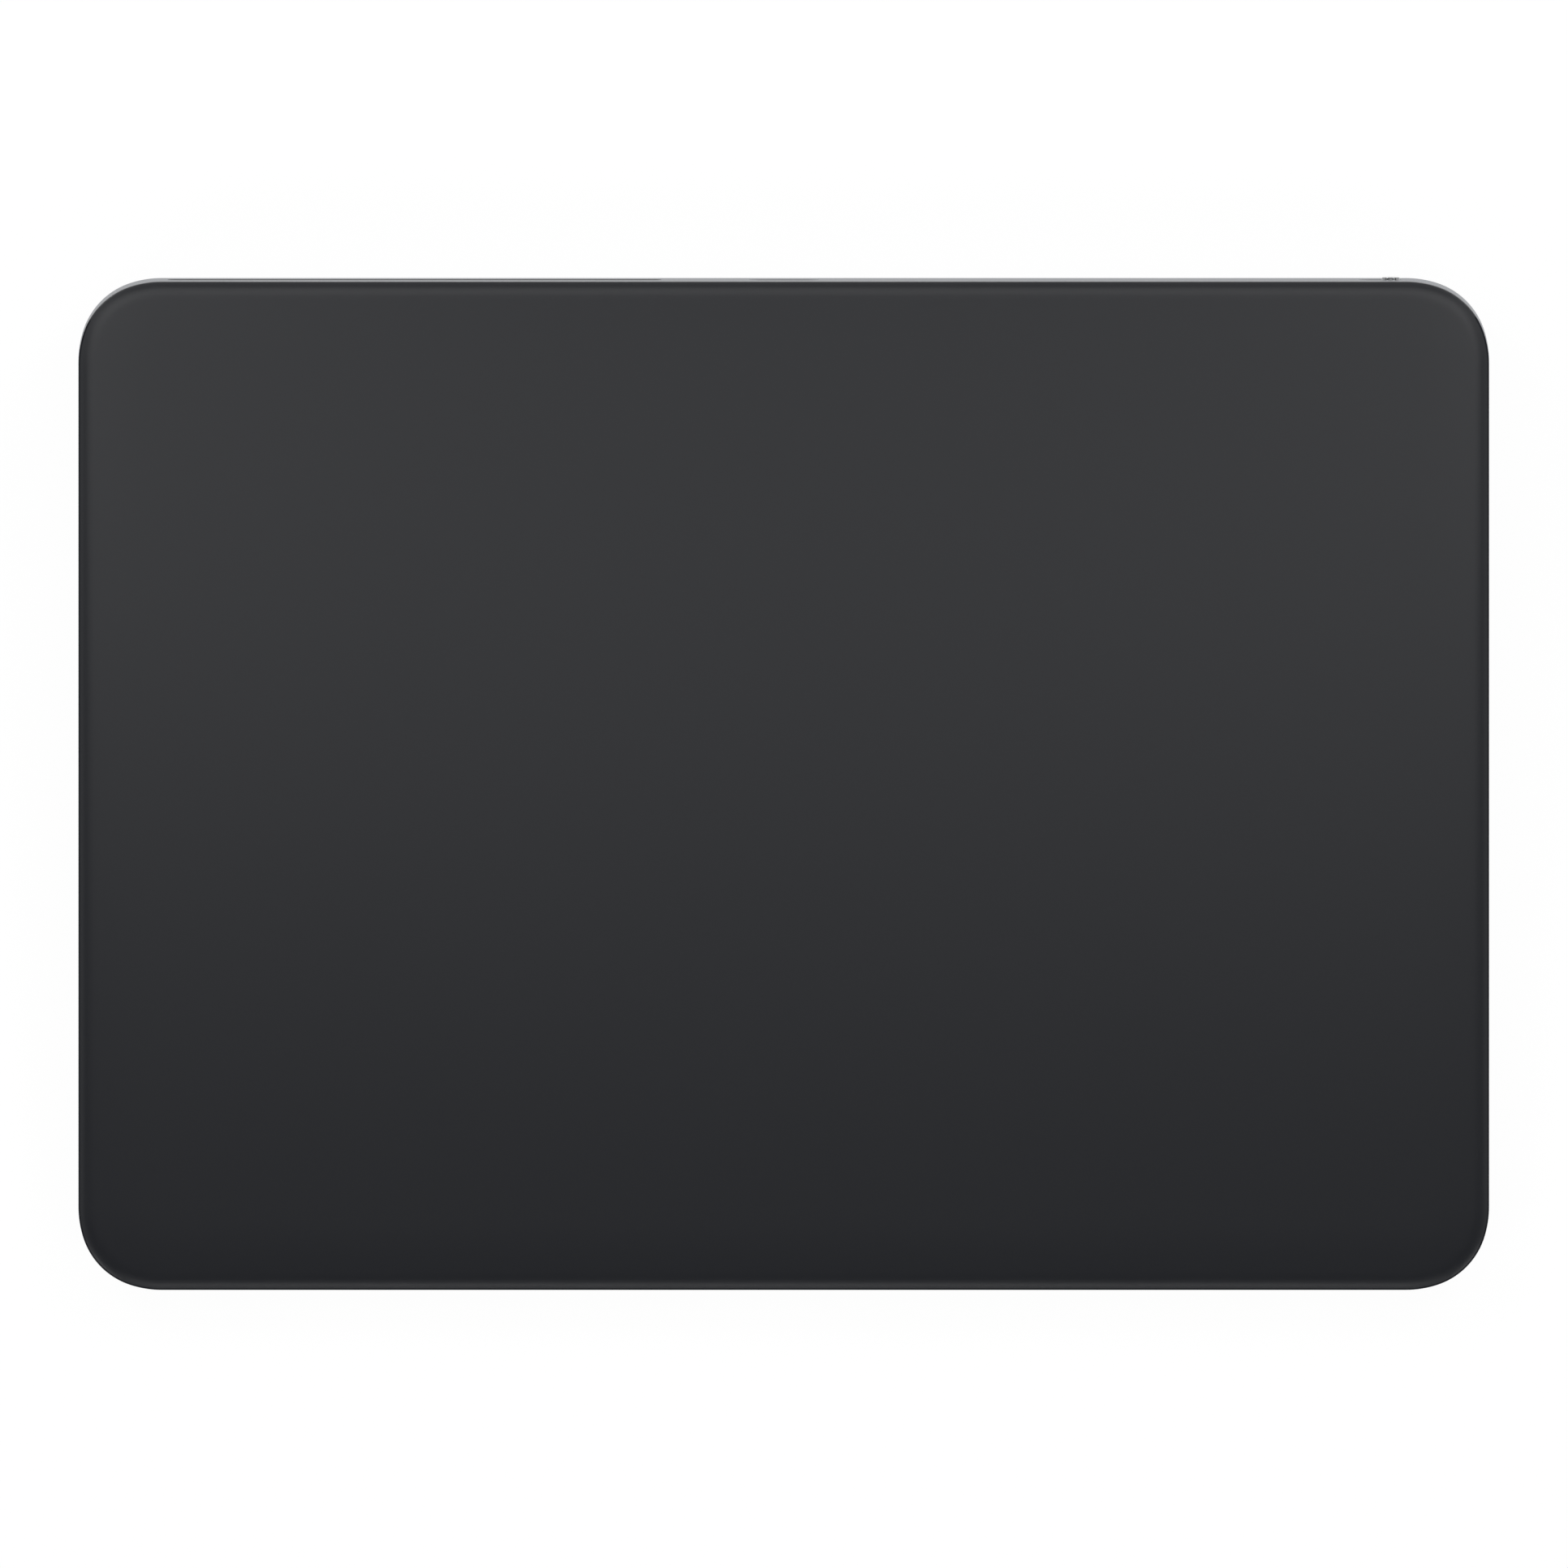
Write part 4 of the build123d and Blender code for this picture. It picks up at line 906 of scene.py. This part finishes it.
enamel, surface = finish("enamelled_wire", copper_red, enamel_roughness[0], 1.0)
surface.inputs["Coat Weight"].default_value = enamel_coat
surface.inputs["Coat Roughness"].default_value = enamel_coat_roughness
tint(enamel, surface, spread(enamel, grain(enamel, enamel_clouds), 0, 1), copper_red, copper_dark)
dull(enamel, surface, grain(enamel, enamel_grains, detail=2.0), *enamel_roughness)
emboss(enamel, surface, grain(enamel, scrape_grains, detail=2.0), scrape_depth)
sleeve_film = ribbon_finish("winding_sleeve", sleeve_pitch, "Z")


def racetrack(half_y, half_z, corner, count):
    """Points round a rectangle with round corners, evenly spaced, counterclockwise."""
    corner = min(corner, half_y, half_z)
    straight_y, straight_z = 2 * (half_y - corner), 2 * (half_z - corner)
    bend = math.pi / 2 * corner
    total = 2 * (straight_y + straight_z) + 4 * bend
    points = []
    for n in range(count):
        left = total * n / count
        for quarter, straight in enumerate([straight_z, straight_y, straight_z, straight_y]):
            angle = math.pi / 2 * quarter
            run = Vector((-math.sin(angle), math.cos(angle)))
            face = Vector((math.cos(angle), math.sin(angle)))
            start = Vector((face.x * half_y, face.y * half_z)) - run * straight / 2
            if left <= straight:
                points.append(start + run * left)
                break
            left -= straight
            if left <= bend:
                pivot = start + run * straight - face * corner
                swing = angle + left / corner
                points.append(pivot + corner * Vector((math.cos(swing), math.sin(swing))))
                break
            left -= bend
    return points


coil_points = [vertex.co.copy() for vertex in frame["nodes"]["haptic_coils"].data.vertices]
coils_low, coils_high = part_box("haptic_coils")
coils_middle_y = (coils_low.y + coils_high.y) / 2
for number, (sx, sy) in enumerate([(-1, -1), (1, -1), (-1, 1), (1, 1)]):
    own = [p for p in coil_points if p.x * sx > 0 and (p.y - coils_middle_y) * sy > 0]
    low = Vector([min(p[axis] for p in own) for axis in range(3)])
    high = Vector([max(p[axis] for p in own) for axis in range(3)])
    middle = (low + high) / 2
    half = (high - low) / 2
    path = racetrack(half.y - wire_radius, half.z - wire_radius, winding_corner, turn_points)
    wound = high.x - low.x - 2 * wire_radius
    turns = int(wound / (2 * wire_radius * turn_room))
    pitch = wound / turns
    rings = []
    for n in range(turns * turn_points + 1):
        before, here, after = [path[(n + step) % turn_points] for step in (-1, 0, 1)]
        along = (after - before).normalized()
        outward = Vector((0, along.y, -along.x))
        x = low.x + wire_radius + pitch * n / turn_points
        place = Vector((x, middle.y + here.x, middle.z + here.y))
        ring = []
        for k in range(wire_sides):
            angle = -2 * math.pi * k / wire_sides
            spoke = math.cos(angle) * outward + math.sin(angle) * Vector((1, 0, 0))
            ring.append(place + wire_radius * spoke)
        rings.append(ring)
    winding = skin(f"winding_{number + 1}", rings, crease=80)
    fit(winding, enamel, "base", "copper", "haptic_coils")
    outer, inner = [
        racetrack(half.y - inset, half.z - inset, corner, sleeve_points)
        for inset, corner in (sleeve_outer, sleeve_inner)
    ]
    loops = [(outer, low.x), (outer, high.x), (inner, high.x), (inner, low.x)]
    rings = [[Vector((x, middle.y + p.x, middle.z + p.y)) for p in loop] for loop, x in loops]
    sleeve = skin(f"winding_sleeve_{number + 1}", rings, tube=True)
    fit(sleeve, sleeve_film, "base", "ribbon_film", "haptic_coils")

# Force beams. Four tongues of spring steel are screwed to bosses and bend under the deck's pads. A
# foil gauge on each arm measures the press, and a ribbon on each side carries its signal.
spring = (0.4, 0.4, 0.4)
spring_straw = (0.36, 0.34, 0.31)
gauge_pitch = 0.00022
bend_steps = 14

dress(screw_finish, "beam_screws")
dress(ribbon_finish("gauge_foil", gauge_pitch, "X"), "strain_gauges")
dress(ribbon_finish("gauge_ribbon", trace_pitch, "X"), "gauge_flex_left", "gauge_flex_right")
tempered = metal_finish(
    "tempered_spring", spring, spring_straw, roughness=(0.25, 0.4), grains=1800, stretch=(1, 0.05, 1)
)


def sliced(name, node, way, steps):
    """A copy of a CAD piece's mesh with cuts across it along a direction."""
    near, far = reach(node, way)
    work = opened(node)
    for n in range(1, steps):
        everything = work.verts[:] + work.edges[:] + work.faces[:]
        level = near + (far - near) * n / steps
        bmesh.ops.bisect_plane(work, geom=everything, plane_co=way * level, plane_no=way)
    return closed(name, work)


for place in ("front_left", "front_right", "rear_left", "rear_right"):
    node = "force_beam_" + place
    tongue = sliced("spring_tongue_" + place, node, deck_back, bend_steps)
    tongue.data.materials.append(tempered)
    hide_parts(node)
    near, far = reach(node, deck_back)
    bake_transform(tongue)

# Gel pads. Four soft discs of clear silicone on steel carriers hold up the touch deck, and let it
# shake sideways. Each bulges a little under the deck's weight.
gel = (0.35, 0.36, 0.38)
gel_cloud = (0.3, 0.31, 0.33)
gel_clear = 0.35
gel_index = 1.41
gel_roughness = (0.22, 0.36)
gel_grains = 2500
gel_clouds = 500
gel_ripples = 1200
gel_ripple_depth = 0.00001
gel_waist = 0.00012
pad_steps = 12
pad_turns = 72

dress(rolled, "pad_carriers")
clear, surface = finish("clear_gel", gel, gel_roughness[0])
surface.inputs["Transmission Weight"].default_value = gel_clear
surface.inputs["IOR"].default_value = gel_index
tint(clear, surface, spread(clear, grain(clear, gel_clouds), 0, 1), gel, gel_cloud)
dull(clear, surface, grain(clear, gel_grains, detail=2.0), *gel_roughness)
emboss(clear, surface, grain(clear, gel_ripples, detail=2.0), gel_ripple_depth)
pad_points = [vertex.co.copy() for vertex in frame["nodes"]["gel_pads"].data.vertices]
pad_bottom, pad_top = reach("gel_pads", deck_out)
for sx, side in ((-1, "left"), (1, "right")):
    for sy, end in ((-1, "front"), (1, "rear")):
        own = [p for p in pad_points if p.x * sx > 0 and p.y * sy > 0]
        across = [p.dot(deck_back) for p in own]
        xs = [p.x for p in own]
        radius = (max(xs) - min(xs)) / 2
        tall = pad_top - pad_bottom
        centre = Vector(((max(xs) + min(xs)) / 2, 0, 0)) + (max(across) + min(across)) / 2 * deck_back
        profile = []
        for n in range(pad_steps + 1):
            share = n / pad_steps
            bulge = math.sin(math.pi * share)
            profile.append((radius - gel_waist * (1 - bulge), tall * share))
        pad = turned(f"gel_pad_{end}_{side}", profile, centre + pad_bottom * deck_out, deck_out, pad_turns)
        pad.data.materials.append(clear)
        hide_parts("gel_pads")
        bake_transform(pad)

# Touch deck. A sensor board is bonded under the glass and stiffened by a steel plate. On its back sit
# three chips and two iron bars, and a looped ribbon drops from it to the logic board.
sensor_pitch = 0.0042

dress(rolled, "stiffener_plate")
dress(board_finish("sensor_board", sensor_pitch), "touch_board")
dress(chip_moulding, "touch_chips")
dress(laminated, "pole_bars")
dress(film, "bond_film")
looped = closed("looped_ribbon", opened("touch_flex"))
fit(looped, ribbon_finish("touch_ribbon", trace_pitch, "X"), "touch_deck", "ribbon_film", "touch_flex")
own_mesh(looped)

# Rim seal. A narrow ring of black closed-cell foam, stuck under the glass all round. It keeps dust
# out of the gap and gives way when the deck is pressed.
foam_black = (0.012, 0.012, 0.013)
# The darker tone is painted shade for the pits of the cut cells.
foam_pore_shade = (0.006, 0.006, 0.0065)
foam_roughness = (0.82, 0.95)
foam_grains = 3000
pores = 4200
pore_edge = (0.1, 0.5)
pore_depth = 0.00004
foam_corner = 0.00009
seal_width = 0.00145


def deck_outline():
    """Points round the body's outline, each with the direction that leads out of it."""
    corner = []
    for in_x, in_y, radius, start, end, steps in corner_arcs():
        for n in range(steps):
            corner.append((in_x, in_y, radius, start + (end - start) * n / steps))
    corner.append((in_x, in_y, radius, math.pi / 2))
    outline = []
    for number, (sx, sy) in enumerate([(1, 1), (-1, 1), (-1, -1), (1, -1)]):
        for in_x, in_y, radius, angle in corner if number % 2 == 0 else corner[::-1]:
            out_x, out_y = math.cos(angle), math.sin(angle)
            x = deck_half_width - in_x + radius * out_x
            y = deck_half_length - in_y + radius * out_y
            outline.append((sx * x, sy * y, sx * out_x, sy * out_y))
    return outline


def deck_rings(profile):
    """The body's outline once for each inset and depth of a profile, as rings of points."""
    rings = []
    for inset, depth in profile:
        ring = []
        for x, y, out_x, out_y in deck_outline():
            place = Vector((x - inset * out_x, 0, 0)) + (y - inset * out_y) * deck_back
            ring.append(deck_middle + place - depth * deck_out)
        rings.append(ring)
    return rings


seal_bottom, seal_top = reach("rim_seal", deck_out)
seal_edge = deck_half_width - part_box("rim_seal")[1].x
depth_top, depth_bottom = glass_top_level - seal_top, glass_top_level - seal_bottom
profile = [
    (seal_edge + foam_corner, depth_bottom),
    (seal_edge, depth_bottom - foam_corner),
    (seal_edge, depth_top + foam_corner),
    (seal_edge + foam_corner, depth_top),
    (seal_edge + seal_width - foam_corner, depth_top),
    (seal_edge + seal_width, depth_top + foam_corner),
    (seal_edge + seal_width, depth_bottom - foam_corner),
    (seal_edge + seal_width - foam_corner, depth_bottom),
]
foam, surface = finish("cell_foam", foam_black, foam_roughness[0])
cells = foam.node_tree.nodes.new("ShaderNodeTexVoronoi")
cells.inputs["Scale"].default_value = pores
foam.node_tree.links.new(place_on(foam), cells.inputs["Vector"])
pore_pit_and_shade = spread(foam, cells.outputs["Distance"], 0, 1, *pore_edge)
# The same pattern sinks the pits and paints them darker, as painted shade in the pores.
tint(foam, surface, pore_pit_and_shade, foam_pore_shade, foam_black)
emboss(foam, surface, pore_pit_and_shade, pore_depth)
dull(foam, surface, grain(foam, foam_grains, detail=2.0), *foam_roughness)
seal = skin("foam_seal", deck_rings(profile), tube=True)
fit(seal, foam, "touch_deck", "seal_foam", "rim_seal")
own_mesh(seal)

# Glass. One sheet of strengthened glass, finely etched on its face and inked black on its back. Its
# edge rolls softly down to a narrow land, which at the front and sides takes a duller copy of the glass's
# finish as painted shade.
ink_black = (0.0044, 0.0052, 0.0076)
ink_cloud = tuple(0.98 * tone for tone in ink_black)
ink_clouds = 40
glass_index = 1.5
etch_roughness = (0.28, 0.32)
etch_grains = 7000
etch_depth = 0.000001
back_chamfer = 0.0001
back_land = 0.0003
nose = 0.00012
nose_steps = 8
pillow_width = 0.0075
pillow_drop = 0.00014
roll_width = 0.0021
roll_drop = 0.00027
roll_power = 2.7
roll_steps = 30
step_power = 1.7
flat_start = 1.04 * pillow_width
# The duller copy of the glass's finish below is painted shade that darkens the front and side edges.
shaded_edge_gloss = 0.14
shaded_edge_roughness = (0.4, 0.5)
shaded_edge_rings = nose_steps + 5
rear_turn = 0.5


def glass_drop(inset):
    """How far the glass's face lies below its middle at a distance from the edge."""
    pillow = max(0.0, 1 - inset / pillow_width)
    roll = max(0.0, 1 - inset / roll_width)
    return pillow_drop * pillow**2 + roll_drop * roll**roll_power


thickness = glass_top_level - glass_back_level
profile = [(back_chamfer + back_land, thickness), (back_chamfer, thickness), (0, thickness - back_chamfer)]
for n in range(nose_steps + 1):
    angle = math.pi / 2 * n / nose_steps
    profile.append((nose * (1 - math.cos(angle)), glass_drop(nose) + nose * (1 - math.sin(angle))))
for n in range(1, roll_steps + 1):
    inset = nose + (pillow_width - nose) * (n / roll_steps) ** step_power
    profile.append((inset, glass_drop(inset)))
profile.append((flat_start, 0))
glass = skin("glass_top", deck_rings(profile), crease=50)
etched, surface = finish("etched_black_glass", ink_black, etch_roughness[0])
surface.inputs["IOR"].default_value = glass_index
etch = grain(etched, etch_grains, detail=2.0)
tint(etched, surface, spread(etched, grain(etched, ink_clouds), 0, 1), ink_black, ink_cloud)
dull(etched, surface, etch, *etch_roughness)
emboss(etched, surface, etch, etch_depth, strength=0.3)
fit(glass, etched, "touch_deck", "black_glass", "glass_plate")
# Painted shade: a less glossy copy of the glass's finish for the front and side edges, while the rear edge
# keeps the glass's own finish.
shaded_edge, surface = finish("shaded_glass_edge", ink_black, shaded_edge_roughness[0])
surface.inputs["IOR"].default_value = glass_index
surface.inputs["Specular IOR Level"].default_value = shaded_edge_gloss
dull(shaded_edge, surface, grain(shaded_edge, etch_grains, detail=2.0), *shaded_edge_roughness)
glass.data.materials.append(shaded_edge)
# The outer rings' faces that look to the front or the sides take the painted-shade copy.
outline = deck_outline()
for number, face in enumerate(glass.data.polygons[: shaded_edge_rings * len(outline)]):
    to_rear = outline[number % len(outline)][3]
    if to_rear < rear_turn:
        face.material_index = 1

size = {"cad": [list(v) for v in cad_box], "visual": [list(v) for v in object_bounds()]}
